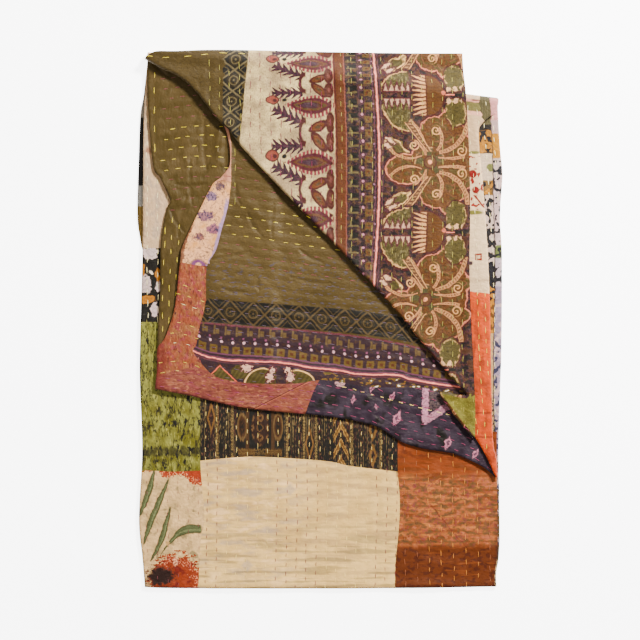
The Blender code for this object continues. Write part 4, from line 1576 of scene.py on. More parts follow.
def sari_field(net):
    """The border leaf: olive with lavender flecks and a painted sheen, then lattice, squares, a pink line and
    leaves, with painted shade along its sharp wrinkles.
    """
    u, v = net.wobble(0.8, 6)
    row = v - net.curve(u, LATTICE_ROW)
    below = v - net.curve(u, PINK_ROW)
    cloudy = net.noise(26, seed=4).rise(0.35, 0.65)
    colour = net.mix(OLIVE, (117, 90, 48), cloudy)
    # Painted sheen: the olive is lighter in a broad oval about the middle of the leaf, where the light falls
    # on its satin.
    painted_sheen = (net.oval(u - 262, v - 265, 50, 40) * -0.05 + 1.2).rise(0.6, 1.6)
    colour = net.mix(colour, (123, 96, 51), painted_sheen)
    fleck = net.noise(3.4, (1.8, 0.7), detail=1, seed=15).rise(0.60, 0.68) * v.rise(250, 268)
    colour = net.mix(colour, (112, 98, 104), fleck * 0.8)
    colour = net.layers(colour, *lattice(net, u - 207.4, row, 11.6, 22.9, (120, 92, 54)))
    thin = row - 12.4 - ((u - 300) | 0) * 0.02
    dark = thin.cut() * -1 + 1
    p = (u - 201.8 + below * 0.05).wrap(5.6)
    square = (abs(p) | abs(below + 9.5) * 0.95) - 3.7
    comb = (abs(p) - 0.9).cut() * below.band(-33, -24) | (abs(p - 3) - 1.8).cut() * below.band(-30, -25)
    colour = net.layers(
        colour,
        (dark, AUBERGINE),
        (thin.band(0, 1.6), (150, 74, 84)),
        (dark * net.noise(3.5, seed=59).rise(0.54, 0.62) * 0.7, (104, 66, 48)),
        (comb * dark, (138, 106, 62)),
        (square.cut() * dark, (140, 104, 48)),
        ((square + 2.2).cut() * dark, (118, 64, 42)),
        (net.disc(p + 3.6, below + 17.5, 1.3) * dark, (212, 190, 190)),
        ((abs(p + 4.2) - 1).cut() * below.band(-22.5, -20.5) * dark, (170, 96, 130)),
        (below.band(-5.6, -4.4) * dark, (150, 84, 112)),
        (below.band(-2, -1.2) * dark, (150, 84, 112)),
        (below.band(-1.2, 1.8), (150, 74, 78)),
        (below.band(-0.5, 0.9), (228, 180, 166)),
        (below.band(2.6, 3.4), (140, 70, 80)),
    )
    strip = (below - 3.2).cut() * -1 + 1
    tip = abs(u - 220) * 0.95 + 365 - v
    m = abs(u - 280)
    bits = net.noise(4.5, (1.6, 0.8), detail=1, seed=17)
    jag = net.noise(2.2, detail=1, seed=54) * 7 - 3.5
    vein = ((u * 1.3 + v * 0.9).sin() * 0.5 - 0.1).cut(0.5)
    left_fan = net.oval(u - 264, v - 385, 20, 17) | u - 276.0
    right_fan = net.oval(u - 296, v - 385, 20, 15) | 286 - u
    leaves = tip & left_fan & right_fan & net.oval(u - 240, v - 372, 9, 7) + jag * 0.4
    flames = net.oval(m - 10, v - 377, 3.4, 4.6) & net.oval(m - 7.5, v - 370, 2.4, 2.6)
    flames = (flames & net.oval(u - 247, v - 368, 5, 3.2) & net.oval(u - 196, v - 364, 4, 5)) + jag * 1.3
    shapes = [
        (bits.rise(0.52, 0.57) * (318 - u).cut(), (124, 108, 48)),
        (bits.band(0.575, 0.595, 0.02) * (318 - u).cut(), (196, 132, 74)),
        (bits.rise(0.66, 0.7) * (318 - u).cut(), WHITE),
        (leaves.cut(), LEAF_GREEN),
        (leaves.cut() * vein * 0.6, (84, 66, 36)),
        (tip.band(-1.5, 0), (222, 140, 112)),
        ((left_fan & right_fan).band(-1.1, 0) * (11 - m).cut(), CREAM),
        ((flames - 1.4).cut(), (120, 50, 58)),
        (flames.cut(), (212, 188, 172)),
    ]
    colour = net.layers(colour, *shapes, inside=strip)
    # Sharp wrinkles with painted shade along them.
    lines = [net.near_line(*line) for line in FIELD_SHADED_WRINKLES]
    return net.finish(colour, rough=0.5, wear=0.4, wrinkle=0.6, way=(1.5, 0.8), ink=0.12, lines=lines)


def red_marble(net):
    warm = net.noise(9, (0.7, 1.5), detail=3, seed=1)
    streak = net.noise(3.2, (0.6, 1.8), detail=3, seed=6)
    colour = net.layers(
        (184, 100, 68),
        (warm.rise(0.42, 0.62), (184, 126, 80)),
        (net.noise(7, seed=14).rise(0.5, 0.64), (184, 92, 88)),
        (streak.rise(0.55, 0.66), (150, 70, 54)),
        (net.noise(2.6, (0.6, 2), seed=22).rise(0.6, 0.7), (204, 156, 108)),
        (net.noise(3, (1, 1), seed=31).rise(0.66, 0.72), (112, 60, 60)),
        ((168 - net.u).rise(-2, 6) * net.v.rise(330, 350) * 0.8, (158, 64, 54)),
    )
    return net.finish(colour, rough=0.5, wear=0.5, wrinkle=1.1, way=(0.8, 1.5))


def rust_band(net):
    warm = net.noise(7, (1.8, 0.8), detail=3, seed=1)
    streak = net.noise(3, (1.6, 0.7), detail=3, seed=6)
    crease = net.u - 268.6 + (net.v - 402) * 1.98
    right = crease.rise(-2, 3)
    colour = net.layers(
        (170, 90, 76),
        (warm.rise(0.42, 0.62), (180, 112, 82)),
        (streak.rise(0.54, 0.64) * 0.8, (140, 64, 54)),
        (net.noise(3.4, (1.6, 0.7), seed=22).rise(0.56, 0.68), (196, 140, 104)),
        (net.noise(9, (1.4, 0.8), seed=37).rise(0.54, 0.66) * 0.8, (178, 86, 88)),
        (right * warm.rise(0.3, 0.7) * 0.7, (180, 104, 76)),
        # Painted shadow and painted highlight: a dark line and a bright line beside each other along the
        # fold.
        (crease.band(-2.2, -0.4), (104, 48, 42)),
        (crease.band(-0.2, 1.2) * 0.8, (204, 138, 104)),
        ((168 - net.u).rise(-2, 6) * 0.7, (158, 64, 56)),
    )
    return net.finish(colour, rough=0.5, wear=0.5, wrinkle=1.1, way=(1.5, 0.8))


# Tied marks: chart position, size, and turn in degrees.
TIES = (
    (353, 400, 4.2, 10),
    (372, 388, 4, 20),
    (392, 397, 4.6, 30),
    (397, 418, 7.2, 24),
    (448, 443, 6.6, 16),
    (475.5, 454, 5, 30),
    (376, 407, 2.4, 0),
)


def bandhani(net):
    u, v = net.wobble(1.8, 3.6)
    colour = net.mix((66, 50, 60), (92, 74, 86), net.noise(20, detail=3, seed=5).rise(0.4, 0.7))
    colour = net.mix(colour, (38, 28, 34), net.noise(14, (1, 1.4), seed=7).rise(0.54, 0.68))
    dots = net.noise(1.8, detail=1, seed=39)
    for x, y, size, turn in TIES:
        across, down = net.turned(u - x, v - y, turn)
        gem = abs(across) * 1.7 + abs(down) * 0.85
        tied = gem.band(size * 0.42, size, 1.6) * dots.rise(0.3, 0.52)
        colour = net.mix(colour, (206, 160, 172), tied * 0.9)
        colour = net.mix(colour, (150, 96, 120), (gem - size * 0.4).cut() * 0.6)
    bar = (u - 425.5 + (v - 400) * 0.02).band(-3.2, 3.2) * v.band(386, 422)
    arm = (v - 419 + (u - 428) * 0.62).band(-4, 4) * u.band(424, 453)
    tie = dots.rise(0.3, 0.6)
    colour = net.layers(
        colour,
        (u.band(428, 446) * v.band(389, 410) * dots.rise(0.35, 0.6), (126, 96, 92)),
        (bar * (tie * 0.6 + 0.4), (204, 166, 176)),
        (arm * (tie * 0.6 + 0.4), (198, 156, 168)),
        # Painted shadow: a near-black patch where the tip of the turned corner shades the cloth.
        (u.band(437, 445) * v.band(388, 393) * 0.8, (40, 30, 34)),
        (net.oval(u - 340, v - 383, 5, 4).cut() * tie, (204, 176, 172)),
    )
    return net.finish(colour, rough=0.5, wear=0.5, wrinkle=0.9, way=(1.2, 0.9))


def thin_cream(net):
    colour = net.mix((206, 168, 142), (186, 120, 96), net.noise(12, seed=2).rise(0.5, 0.7))
    return net.finish(colour, rough=0.6, wear=0.3)


def purple_voile(net):
    u, v = net.wobble(2, 6)
    scrawl = abs(net.noise(5, seed=11) - 0.5)
    twigs = abs(net.noise(8, seed=33) - 0.5)
    rough = net.noise(2.6, seed=26)
    right_edge = net.curve(v, ((180, 231), (205, 228), (228, 222), (250, 216), (268, 207)))
    colour = net.layers(
        (218, 190, 158),
        (net.noise(14, seed=3).rise(0.5, 0.7), (214, 180, 126)),
        ((twigs - 0.016).cut(0.02) * rough.rise(0.4, 0.5) * 0.8, (120, 104, 92)),
    )
    for x, y, long, high, blob in (
        (212, 196, 5.5, 5, (142, 118, 158)),
        (206, 216, 8, 5, (158, 104, 132)),
        (214, 229, 7.5, 5, (166, 92, 134)),
        (199, 237, 5, 3.4, (158, 84, 90)),
        (220, 186, 5, 3.4, (120, 84, 96)),
    ):
        spot = net.oval(u - x, v - y, long, high) + (rough - 0.5) * 7.0
        colour = net.layers(
            colour,
            (spot.cut() * 0.85, blob),
            (spot.cut() * (scrawl - 0.03).cut(0.02), (92, 72, 100)),
        )
    crescent = net.oval(u - 198.5, v - 264.5, 7, 5.5)
    colour = net.layers(
        colour,
        (crescent.band(-3.2, 0), (158, 92, 142)),
        (crescent.band(0, 1) * 0.7, (112, 60, 84)),
        ((right_edge - u).band(-1, 3) * v.rise(196, 204) * 0.85, (182, 160, 188)),
        # Painted shadow: dark red in the top right corner, under the curl of the tongue's edge.
        (v.rise(186, 178) * u.rise(214, 218), (110, 48, 42)),
    )
    # A ragged dark red strip along the tongue's right edge, from v 222 down.
    hem = ((180, 212), (192, 206), (209, 200), (219.5, 196), (226, 191), (244, 183), (262, 181))
    ragged = (u - net.curve(v, hem) - net.noise(4, seed=40) * 6).cut() * v.rise(222, 230)
    colour = net.mix(colour, (112, 40, 34), ragged * 0.8)
    return net.finish(colour, rough=0.55, wear=0.3, wrinkle=0.9, way=(0.8, 1.3))


def lime_cotton(net):
    stretch = (0.8, 1.8)
    black = net.noise(7.5, stretch, detail=3, seed=2, rough=0.65)
    crack = abs(net.noise(9, (0.6, 2.2), detail=3, seed=23, rough=0.6) - 0.5)
    lower = net.v.rise(390, 415)
    colour = net.layers(
        (172, 168, 86),
        (net.noise(13, stretch, seed=8).rise(0.45, 0.65), (156, 150, 62)),
        (lower * net.noise(10, stretch, seed=28).rise(0.4, 0.6), (142, 132, 44)),
        (net.noise(5, (0.7, 1.6), seed=18).rise(0.56, 0.68) * 0.7, (190, 184, 112)),
        ((crack - 0.024).cut(0.02) * net.noise(12, seed=43).rise(0.4, 0.5) * 0.85, (52, 44, 28)),
        ((black + lower * 0.05).rise(0.6, 0.68), (40, 34, 26)),
        ((abs(net.v - 452) - 4 + (black - 0.5) * 18).cut(3) * 0.7, (56, 48, 28)),
    )
    return net.finish(colour, rough=0.6, wear=0.4, way=(0.9, 1.2))


def ikat(net):
    """Warp ikat: dark bands with dashed columns, a medallion, and a column of chevrons."""
    u, v = net.u, net.v
    fray = (net.noise(1.4, (0.5, 3.4), seed=3) - 0.5) * 9.0
    v = v + fray
    columns = net.noise(1.5, (0.55, 60), detail=1, seed=8)
    dash = net.noise(2.6, (0.45, 1.5), detail=1, seed=13)
    colour = net.mix((25, 22, 17), (48, 37, 25), columns.rise(0.54, 0.62))
    colour = net.mix(colour, (16, 15, 14), columns.rise(0.46, 0.38))
    colour = net.mix(colour, (156, 130, 80), (columns + dash * 0.6).rise(0.89, 0.96) * 0.85)
    colour = net.mix(colour, (150, 70, 62), (columns * -1 + dash * 0.8).rise(0.02, 0.08) * 0.5)
    rung = ((v * (2 * math.pi / 3.2)).sin() * 0.5 - 0.1).cut(0.5)
    for x in (217, 232, 287, 304, 316, 352, 381):
        colour = net.mix(colour, (176, 148, 88), u.band(x - 1.2, x + 1.2, 0.6) * rung * 0.85)
    for x, y, long in ((211, 418, 16), (309.5, 444, 18), (373, 430, 12), (373, 456, 12)):
        gem = abs(u - x) * (long / 4.5) + abs(v - y) - long
        colour = net.mix(colour, (160, 112, 56), gem.band(-6, 0, 2))
    x, y = abs(u - 260), v - 428.0
    spots = (abs(net.far((u - 260).wrap(4.6), (v - 428).wrap(5)) - 2.6) - 0.8).cut()
    oval = net.oval(x, y, 9, 18)
    side = net.oval(x - 18, v - 427, 5, 14)
    bars = x.band(11, 14.5) * (abs(v - 430) - 26).cut()
    foot = (v.band(449, 456) | v.band(403, 410)) * (x - 22).cut()
    chevron = abs((v - abs(u - 341) * 1.9).wrap(8.5)) - 2.6
    colour = net.layers(
        colour,
        ((x - 24).cut() * v.band(403, 458), (40, 34, 26)),
        (bars, (100, 64, 42)),
        (foot * (x - 5).rise(-0.5, 0.5), (104, 64, 38)),
        (foot * ((v * 2.2).sin()).cut(0.5), (146, 108, 56)),
        (side.cut(), (96, 58, 38)),
        (side.band(-1.1, 0), (146, 108, 62)),
        (side.band(-3.4, -2.6), (38, 30, 26)),
        (net.disc(x - 18, v - 427, 1.8), (40, 30, 26)),
        (oval.cut(), (66, 44, 30)),
        (oval.cut() * spots, (150, 104, 60)),
        (net.disc(u - 260, v - 428, 2.6), (30, 28, 30)),
        (u.band(333.5, 348.5) * chevron.cut(), (142, 92, 46)),
        (u.band(333.5, 348.5) * (abs(chevron) - 0.6).cut(), (200, 168, 104)),
    )
    return net.finish(colour, rough=0.6, wear=0.5, weave=1.2, way=(0.6, 2))


def cream_silk(net):
    u, v = net.u, net.v
    slabs = net.noise(13, (4, 0.6), seed=4)
    haze = net.noise(16, (1.8, 0.6), detail=3, seed=9)
    left = (330 - u).rise(0, 60)
    block = net.noise(22, (0.9, 1.6), detail=1, seed=46).rise(0.45, 0.6)
    tan_rows = net.noise(7, (7, 0.6), detail=1, seed=16).rise(0.5, 0.64)
    gems = (abs(u - 247) + abs(v - 566)) & (abs(u - 290) + abs(v - 490))
    colour = net.layers(
        (219, 202, 160),
        (slabs.rise(0.46, 0.62) * 0.8, (206, 185, 141)),
        (block * 0.5, (214, 194, 144)),
        (haze.rise(0.5, 0.66) * left * 0.65, (198, 183, 166)),
        (haze.rise(0.46, 0.34) * left * 0.7, (224, 208, 180)),
        (tan_rows * (v.rise(505, 545) * 0.4 + 0.15), (184, 166, 116)),
        (tan_rows.rise(0.55, 0.1) * v.rise(540, 570) * 0.35, (222, 206, 168)),
        ((gems - 6).cut(3) * 0.5, (196, 184, 172)),
        # Painted shade: darker along the bottom edge, where the cloth turns down.
        (v.rise(584, 590) * 0.5, (160, 132, 98)),
    )
    return net.finish(colour, rough=0.45, wear=0.24, wrinkle=0.6, way=(1.6, 1), slub=0.08)


def rust_silk(net):
    u, v = net.wobble(2.4, 6)
    light = v.rise(470, 484) * (v.rise(542, 552) * -1 + 1)
    slabs = net.noise(6, (5, 0.6), detail=3, seed=4)
    scrawl = abs(net.noise(6, seed=11, u=u, v=v) - 0.5)
    few = net.noise(14, detail=1, seed=29).rise(0.42, 0.54)
    mottle = net.noise(5, (1.4, 0.9), detail=3, seed=35, u=u, v=v)
    stroke = abs(u - 452 - (v - 531) * 0.83) - 0.7
    low = v.rise(544, 551)
    colour = net.layers(
        (178, 88, 44),
        (light, (196, 124, 74)),
        (slabs.rise(0.48, 0.62) * 0.8, (152, 76, 38)),
        (slabs.rise(0.46, 0.34) * light, (206, 150, 88)),
        (mottle.rise(0.48, 0.57) * light * 0.85, (152, 106, 60)),
        (mottle.rise(0.56, 0.66) * light * 0.6, (128, 84, 54)),
        (mottle.rise(0.42, 0.34) * light * 0.5, (212, 158, 112)),
        ((scrawl - 0.018).cut(0.02) * few * light * 0.8, (176, 82, 84)),
        ((scrawl - 0.05).cut(0.02) * (1 - few) * mottle.rise(0.5, 0.44) * light * 0.4, (196, 124, 104)),
        (stroke.cut() * v.band(505, 558) * light * 0.7, (150, 60, 50)),
        (low, (146, 70, 36)),
        (low * mottle.rise(0.5, 0.6) * 0.8, (110, 52, 28)),
        (low * slabs.rise(0.42, 0.34) * 0.7, (176, 96, 52)),
        (v.rise(470, 452) * mottle.rise(0.46, 0.6) * 0.8, (140, 62, 28)),
        # Painted shade: darker along the bottom edge and, lower down, along the right edge, where the cloth
        # turns down.
        (v.rise(584, 590) * 0.5, (100, 42, 24)),
        (u.rise(494, 499) * v.rise(500, 520) * 0.6, (60, 30, 24)),
    )
    return net.finish(colour, rough=0.45, wear=0.4, wrinkle=0.6, way=(1.3, 1), slub=0.16)


# Green leaves of the flowered cotton: chart line and half width.
BLADES = (
    (((154, 470), (150, 486), (145, 501), (139, 517)), 2.8),
    (((168, 480), (160, 499), (151, 521), (143, 545)), 3),
    (((170, 508), (166, 523), (161, 540), (150, 562)), 2.6),
    (((201, 530), (183, 531), (171, 541), (160, 556)), 3.6),
)


def leaf_cotton(net):
    u, v = net.wobble(1, 5)
    speck = net.noise(1.7, seed=7)
    colour = net.layers(
        (214, 196, 160),
        (net.noise(16, seed=4).rise(0.45, 0.65), (204, 184, 142)),
        (net.noise(9, (1, 1.2), seed=24).rise(0.6, 0.7), (186, 166, 122)),
    )
    for line, half in BLADES:
        if abs(line[-1][1] - line[0][1]) > abs(line[-1][0] - line[0][0]):
            ys = sorted((y, x) for x, y in line)
            low, high = ys[0][0], ys[-1][0]
            across = u - net.curve(v, ys)
            span = v.band(low, high, 2)
            taper = half - (v - (low + high) / 2) ** 2 * (half * 0.9 / ((high - low) / 2) ** 2)
        else:
            xs = sorted(line)
            across = (v - net.curve(u, xs)) * 0.9
            span = u.band(xs[0][0], xs[-1][0], 2)
            taper = (u - xs[0][0]) * (half / 20) & half
        shape = abs(across) - taper
        colour = net.layers(
            colour,
            ((shape - 0.4).cut() * span, (92, 86, 50)),
            ((shape + 0.5).cut() * span, (122, 126, 74)),
            ((across.band(0.2, 1.4)) * (shape + 1).cut() * span, (154, 158, 106)),
        )
    frayed = (speck - 0.5) * 18 + (net.noise(6, (1.6, 0.7), detail=1, seed=61) - 0.5) * 22
    head = net.oval(u - 176, v - 588, 27, 33) + frayed
    heart = net.oval(u - 160, v - 577, 13, 9) + (net.noise(4, seed=3) - 0.5) * 12.0
    frill = net.curve(u, ((138, 474), (156, 471), (165, 478), (178, 475), (192, 484), (202, 486)))
    edge = v - frill + (speck - 0.5) * 12.0
    colour = net.layers(
        colour,
        (head.cut(), (190, 82, 46)),
        (head.cut() * net.noise(9, seed=14).rise(0.52, 0.64), (158, 52, 34)),
        (head.band(-6, 0) * speck.rise(0.52, 0.58), (216, 166, 134)),
        (net.oval(u - 175, v - 562, 2.6, 5).cut() * speck.rise(0.44, 0.5), (218, 186, 158)),
        (heart.cut(2), (66, 30, 26)),
        (heart.band(-2, 3) * speck.rise(0.5, 0.6), (120, 60, 46)),
        (net.disc(u - 167, v - 544, 2.2), (206, 180, 130)),
        (edge.cut(), (198, 84, 46)),
        (edge.band(-5, 0.5) * speck.rise(0.52, 0.6), (218, 176, 142)),
    )
    return net.finish(colour, rough=0.6, wear=0.25, wrinkle=1.1, way=(1, 1))


def floral_voile(net):
    """Black cotton with white and golden petals."""
    u, v = net.wobble(2.5, 6)
    petals = net.noise(4, detail=1, seed=5)
    white = net.oval(u - 150, v - 253, 7.5, 6.5) & net.oval(u - 145.5, v - 284, 5.5, 9)
    white = white & net.oval(u - 158.5, v - 287, 4, 5) & net.oval(u - 154.5, v - 310, 4.5, 7)
    white = white + (petals - 0.5) * 7.0
    gold = net.oval(u - 147.5, v - 299, 7.5, 4.2) & net.oval(u - 157.5, v - 275, 2.6, 6)
    gold = gold & net.oval(u - 142, v - 268, 2.2, 6)
    colour = net.layers(
        (36, 33, 36),
        (petals.rise(0.66, 0.7) * 0.7, (110, 96, 84)),
        (white.cut(), (206, 194, 188)),
        (white.band(-3.6, -2.6) * 0.5, (150, 136, 132)),
        ((gold + (petals - 0.5) * 4).cut(), (206, 152, 58)),
        (gold.band(-2.6, -1.8) * 0.5, (150, 96, 36)),
        (net.disc(u - 150.5, v - 272.5, 1.8), WHITE),
        (v.rise(318, 323), (52, 42, 34)),
    )
    return net.finish(colour, rough=0.6, wear=0.3)


def plain_cream(net):
    spot = net.disc(net.u - 148, net.v - 150, 3.4, 3)
    under = net.noise(10, (0.8, 1.4), seed=31).rise(0.5, 0.64)
    colour = net.layers(
        (206, 188, 162),
        (under * 0.6, (192, 178, 160)),
        (spot * 0.7, (172, 98, 66)),
    )
    return net.finish(colour, rough=0.6, wear=0.22, way=(0.8, 1.2))


def green_tip(net):
    colour = net.mix((160, 150, 62), (138, 124, 44), net.noise(8, seed=3).rise(0.4, 0.65))
    colour = net.mix(colour, (184, 172, 92), net.noise(2, (1, 1), seed=13).rise(0.58, 0.7))
    return net.finish(colour, rough=0.6, wear=0.35)


def stripe_of(net, v, *spans):
    """Colours one above another down a narrow strip: (lower end, colour)."""
    start, colour = spans[0]
    for end, over in spans[1:]:
        colour = net.mix(colour, over, v.rise(start - 0.6, start + 0.6))
        start = end
    return colour


def side_prints(net):
    """The strip of the top leaf beside the flap: one small patch under another."""
    u, v = net.wobble(0.7, 5)
    red = net.noise(5.5, (0.9, 1), detail=1, seed=7)
    colour = stripe_of(
        net,
        v - (u - 480) * 0.12,
        *((103, (210, 176, 158)), (112, (150, 138, 74)), (116, (214, 186, 168))),
        *((152, (206, 188, 160)), (292.5, (214, 200, 178)), (700, (226, 122, 12))),
    )
    flowers = v.band(156, 210)
    spots = net.disc(u - 472.5 - (v - 173) * 0.1, v - 174, 4) | net.disc(u - 475.5, v - 190, 3.6)
    sprig = (abs(u - 478 - (v - 200) * 0.8) - 1.2).cut() * v.band(195, 208)
    orange = v.rise(294, 296)
    colour = net.layers(
        colour,
        (flowers * red.rise(0.56, 0.61), (186, 62, 54)),
        (flowers * spots, (178, 44, 46)),
        (flowers * sprig, (176, 54, 50)),
        (net.oval(u - 475, v - 212.5, 8, 2).cut(), (160, 150, 70)),
        (net.oval(u - 474, v - 152.5, 6, 1.6).cut(), (160, 150, 80)),
        ((abs(u - 478.5) | abs(v - 257)).band(1.6, 3.4), (178, 60, 52)),
        (net.disc(u - 470.5, v - 263, 2), (96, 66, 66)),
        (orange * net.noise(9, (0.7, 2), seed=9).rise(0.45, 0.65), (204, 94, 16)),
        # Painted shade: two dark lines in the orange patch, in the troughs of its wrinkles.
        (orange * (v - 413).band(-1, 1) * 0.6, (140, 52, 26)),
        (orange * (v - 437).band(-1, 1) * 0.6, (140, 52, 26)),
        (v.band(279, 282, 3) * 0.5, (186, 160, 130)),
        (v.band(91, 101) * u.rise(470, 474), (140, 52, 48)),
    )
    return net.finish(colour, rough=0.55, wear=0.3, wrinkle=1, way=(1.1, 1))


def margin_prints(net):
    """The packet's right margin and side fold: narrow glimpses of many prints."""
    u, v = net.wobble(1.2, 5)
    bold = net.noise(6, detail=1, seed=5, u=u, v=v)
    ochre = net.noise(7.5, detail=1, seed=15, u=u, v=v)
    stripe = ((u * 2.4).sin() * 0.5).cut(0.6)
    inner = stripe_of(
        net,
        v,
        *((124, (126, 110, 68)), (130, (50, 42, 38)), (153, (200, 150, 56)), (180, (206, 194, 176))),
        *((195, (168, 128, 66)), (262, (204, 190, 180)), (286, (48, 44, 52)), (333, (204, 156, 62))),
        (700, (200, 180, 142)),
    )
    outer = stripe_of(
        net,
        v,
        *((98, (132, 128, 84)), (120, (206, 168, 162)), (133, (196, 176, 170)), (158, (204, 160, 60))),
        *((175, (200, 186, 178)), (245, (202, 186, 182)), (258, (140, 146, 78)), (286, (196, 184, 184))),
        *((455, (176, 160, 172)), (700, (110, 76, 40))),
    )
    split = u - net.curve(v, ((90, 487), (130, 492), (200, 494), (280, 495.5), (360, 494), (460, 495.5)))
    dark_in = bold.rise(0.5, 0.53) * (v.band(130, 153) | v.band(180, 300) | v.band(300, 335) * 0.7)
    dark_out = bold.rise(0.54, 0.57) * v.band(160, 285)
    colour = net.layers(
        inner,
        (stripe * v.rise(125, 122) * 0.7, (96, 84, 50)),
        (dark_in, (44, 40, 44)),
        (net.oval(u - 491, v - 167, 3.6, 4).cut(), (150, 148, 80)),
        (ochre.rise(0.57, 0.6) * v.band(180, 200), (206, 160, 70)),
        (v.rise(395, 400) * net.noise(1.8, (1, 1.6), seed=3).rise(0.5, 0.56), (90, 70, 60)),
    )
    outer = net.layers(
        outer,
        (dark_out, (46, 42, 48)),
        (v.rise(284, 300) * ochre.rise(0.5, 0.6) * 0.7, (206, 190, 184)),
        (v.rise(330, 345) * bold.rise(0.54, 0.57), (78, 74, 104)),
    )
    colour = net.mix(colour, outer, split.cut() * -1 + 1)
    # Painted shade: a dark line along the step where one leaf's edge lies over the other.
    colour = net.mix(colour, (60, 48, 44), (abs(split) - 0.5).cut() * v.rise(120, 130))
    left = stripe_of(
        net,
        v,
        *((117, (168, 158, 142)), (185, (44, 42, 40)), (206, (184, 178, 170))),
        *((245, (170, 140, 70)), (700, (150, 140, 60))),
    )
    colour = net.mix(colour, left, (u - 300).cut())
    return net.finish(colour, rough=0.6, wear=0.3)


LOOK_MAKERS = (
    *(leaf_cotton, cream_silk, rust_silk, lime_cotton, floral_voile, plain_cream, ikat, margin_prints, olive),
    *(thin_cream, purple_voile, red_marble, rust_band, bandhani, sari_field, side_prints, green_tip),
    sari_pallu,
)
LOOKS = [maker.__name__ for maker in LOOK_MAKERS]


def thread_material(name, colour):
    """Twisted cotton thread."""
    net = Net(f"thread_{name}")
    twist = ((net.u + net.v) * 14).sin()
    tone = net.noise(1.2, seed=2)
    # Painted highlight: the thread is lighter on each ridge of its twist, which is also the bump.
    tone = tone * 0.7 + 0.65 + twist * 0.08
    scaled = net.node("ShaderNodeVectorMath", {"operation": "SCALE"}, {0: colour, 3: tone})
    net.put(net.shader.inputs["Base Color"], scaled.outputs[0])
    net.put(net.shader.inputs["Roughness"], tone * 0.2 + 0.4)
    bump = net.node("ShaderNodeBump", {}, {"Strength": 0.6, "Distance": 0.2 * MM, "Height": twist})
    net.put(net.shader.inputs["Normal"], bump.outputs[0])
    return net.material


def floor_material():
    """A pale floor, as bright as a light table."""
    net = Net("pale_floor")
    tone = net.noise(60) * 0.02 + 0.92
    colour = net.node("ShaderNodeCombineColor", {}, {0: tone, 1: tone, 2: tone}).outputs[0]
    net.put(net.shader.inputs["Base Color"], colour)
    net.put(net.shader.inputs["Emission Color"], colour)
    net.shader.inputs["Emission Strength"].default_value = 6.0
    net.shader.inputs["Roughness"].default_value = 0.9
    return net.material


# ---------------------------------------------------------------- stage

FLOOR_HALF = 4  # half of the floor's width
FLOOR_LOW = -0.4 * MM
SKY = 0.5  # strength of the light from all round
LAMPS = (("key", (1.35, 1.8, 1.9), 0.5, 340), ("fill", (-1.8, -0.9, 2.2), 2, 30))  # place, size and watts
SENSOR = 36
CAMERA_HIGH = 3.2
CLOTH_HIGH = 15 * MM  # the picture's scale is right at this height

def make_stage():
    """A pale floor, soft light from the upper right, and a camera straight above."""
    mesh = bpy.data.meshes.new("floor")
    corners = [(x * FLOOR_HALF, y * FLOOR_HALF, FLOOR_LOW) for x, y in ((-1, -1), (1, -1), (1, 1), (-1, 1))]
    mesh.from_pydata(corners, [], [(0, 1, 2, 3)])
    floor = bpy.data.objects.new("floor", mesh)
    bpy.context.collection.objects.link(floor)
    floor.data.materials.append(floor_material())
    world = bpy.data.worlds.new("studio")
    world.use_nodes = True
    world.node_tree.nodes["Background"].inputs["Color"].default_value = (1, 1, 1, 1)
    world.node_tree.nodes["Background"].inputs["Strength"].default_value = SKY
    bpy.context.scene.world = world
    for name, place, size, power in LAMPS:
        light = bpy.data.lights.new(name, "AREA")
        light.size = size
        light.energy = power
        lamp = bpy.data.objects.new(name, light)
        lamp.location = place
        lamp.rotation_euler = (-Vector(place)).to_track_quat("-Z", "Y").to_euler()
        bpy.context.collection.objects.link(lamp)
    data = bpy.data.cameras.new("camera")
    data.sensor_width = SENSOR
    data.lens = SENSOR * (CAMERA_HIGH - CLOTH_HIGH) / (CHART_WIDE * CELL)
    camera = bpy.data.objects.new("camera", data)
    camera.location = (0, (CHART_MIDDLE[1] - CHART_WIDE / 2) * CELL, CAMERA_HIGH)
    bpy.context.collection.objects.link(camera)
    bpy.context.scene.camera = camera


class QuiltSizes(bpy.types.PropertyGroup):
    """Sizes of the quilt's looks."""

    thick: bpy.props.FloatProperty(
        name="Thickness", description="Thickness of the sewn layers", default=2.2 * MM, subtype="DISTANCE"
    )
    fine: bpy.props.FloatProperty(
        name="Mesh step", description="Point spacing where cloth shows", default=4.6 * MM, subtype="DISTANCE"
    )
    thread: bpy.props.FloatProperty(
        name="Thread width", description="Width of a running stitch", default=1.3 * MM, subtype="DISTANCE"
    )
    stitch: bpy.props.FloatProperty(
        name="Stitch length", description="Share of the usual stitch length", default=1, min=0.2, max=2.0
    )


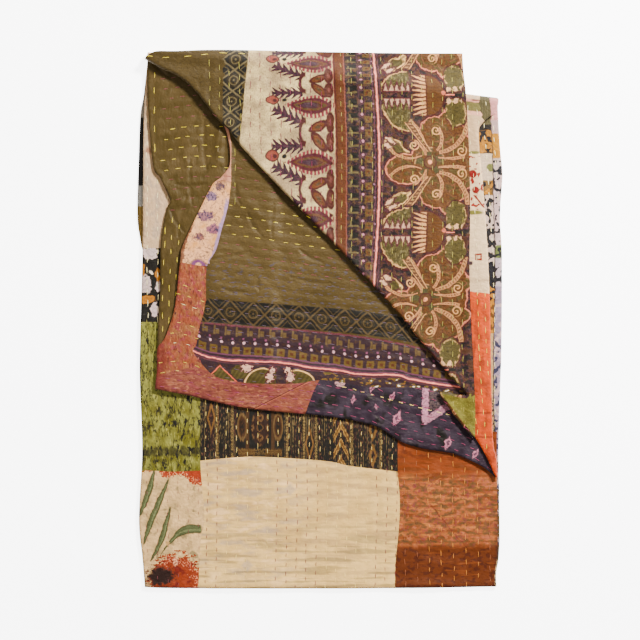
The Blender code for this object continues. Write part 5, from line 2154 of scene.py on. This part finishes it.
class QUILT_OT_cloth(bpy.types.Operator):
    """Build the folded cloth with its patches and prints"""

    bl_idname = "quilt.cloth"
    bl_label = "Cloth"

    def execute(self, context):
        sizes = context.scene.quilt_sizes
        cloth = make_cloth(sizes.thick, sizes.fine, [maker(Net(maker.__name__)) for maker in LOOK_MAKERS])
        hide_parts("quilt_cloth")
        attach(cloth, "root")
        return {"FINISHED"}


class QUILT_OT_stitches(bpy.types.Operator):
    """Lay the running stitches on the cloth"""

    bl_idname = "quilt.stitches"
    bl_label = "Stitches"

    def execute(self, context):
        sizes = context.scene.quilt_sizes
        cloth = bpy.data.objects.get("quilt_look")
        if cloth is None:
            raise RuntimeError("the stitches need the cloth")
        depsgraph = context.evaluated_depsgraph_get()
        tree = BVHTree.FromObject(cloth, depsgraph)
        rng = np.random.default_rng(11)
        places = {}
        for rows in STITCH_ROWS:
            for place in stitch_places(rows, tree, sizes.stitch, rng):
                places.setdefault(place[0], []).append(place)
        for thread, here in sorted(places.items()):
            material = thread_material(thread, dye(*THREADS[thread]))
            piece = make_stitches(thread, here, sizes.thread, material)
            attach(piece, "root")
        return {"FINISHED"}


class QUILT_OT_stage(bpy.types.Operator):
    """Set up the floor, the light and the camera"""

    bl_idname = "quilt.stage"
    bl_label = "Stage"

    def execute(self, context):
        make_stage()
        return {"FINISHED"}


class QUILT_PT_panel(bpy.types.Panel):
    """The quilt's sizes and steps"""

    bl_label = "Kantha quilt"
    bl_idname = "QUILT_PT_panel"
    bl_space_type = "VIEW_3D"
    bl_region_type = "UI"
    bl_category = "Quilt"

    def draw(self, context):
        for name in ("thick", "fine", "thread", "stitch"):
            self.layout.prop(context.scene.quilt_sizes, name)
        for name in ("quilt.stage", "quilt.cloth", "quilt.stitches"):
            self.layout.operator(name)


CLASSES = (QuiltSizes, QUILT_OT_cloth, QUILT_OT_stitches, QUILT_OT_stage, QUILT_PT_panel)


def register():
    for cls in CLASSES:
        bpy.utils.register_class(cls)
    bpy.types.Scene.quilt_sizes = bpy.props.PointerProperty(type=QuiltSizes)


def unregister():
    del bpy.types.Scene.quilt_sizes
    for cls in reversed(CLASSES):
        bpy.utils.unregister_class(cls)


def main():
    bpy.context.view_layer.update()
    register()
    bpy.ops.quilt.stage()
    bpy.ops.quilt.cloth()
    bpy.ops.quilt.stitches()


if __name__ == "__main__":
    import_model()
    main()
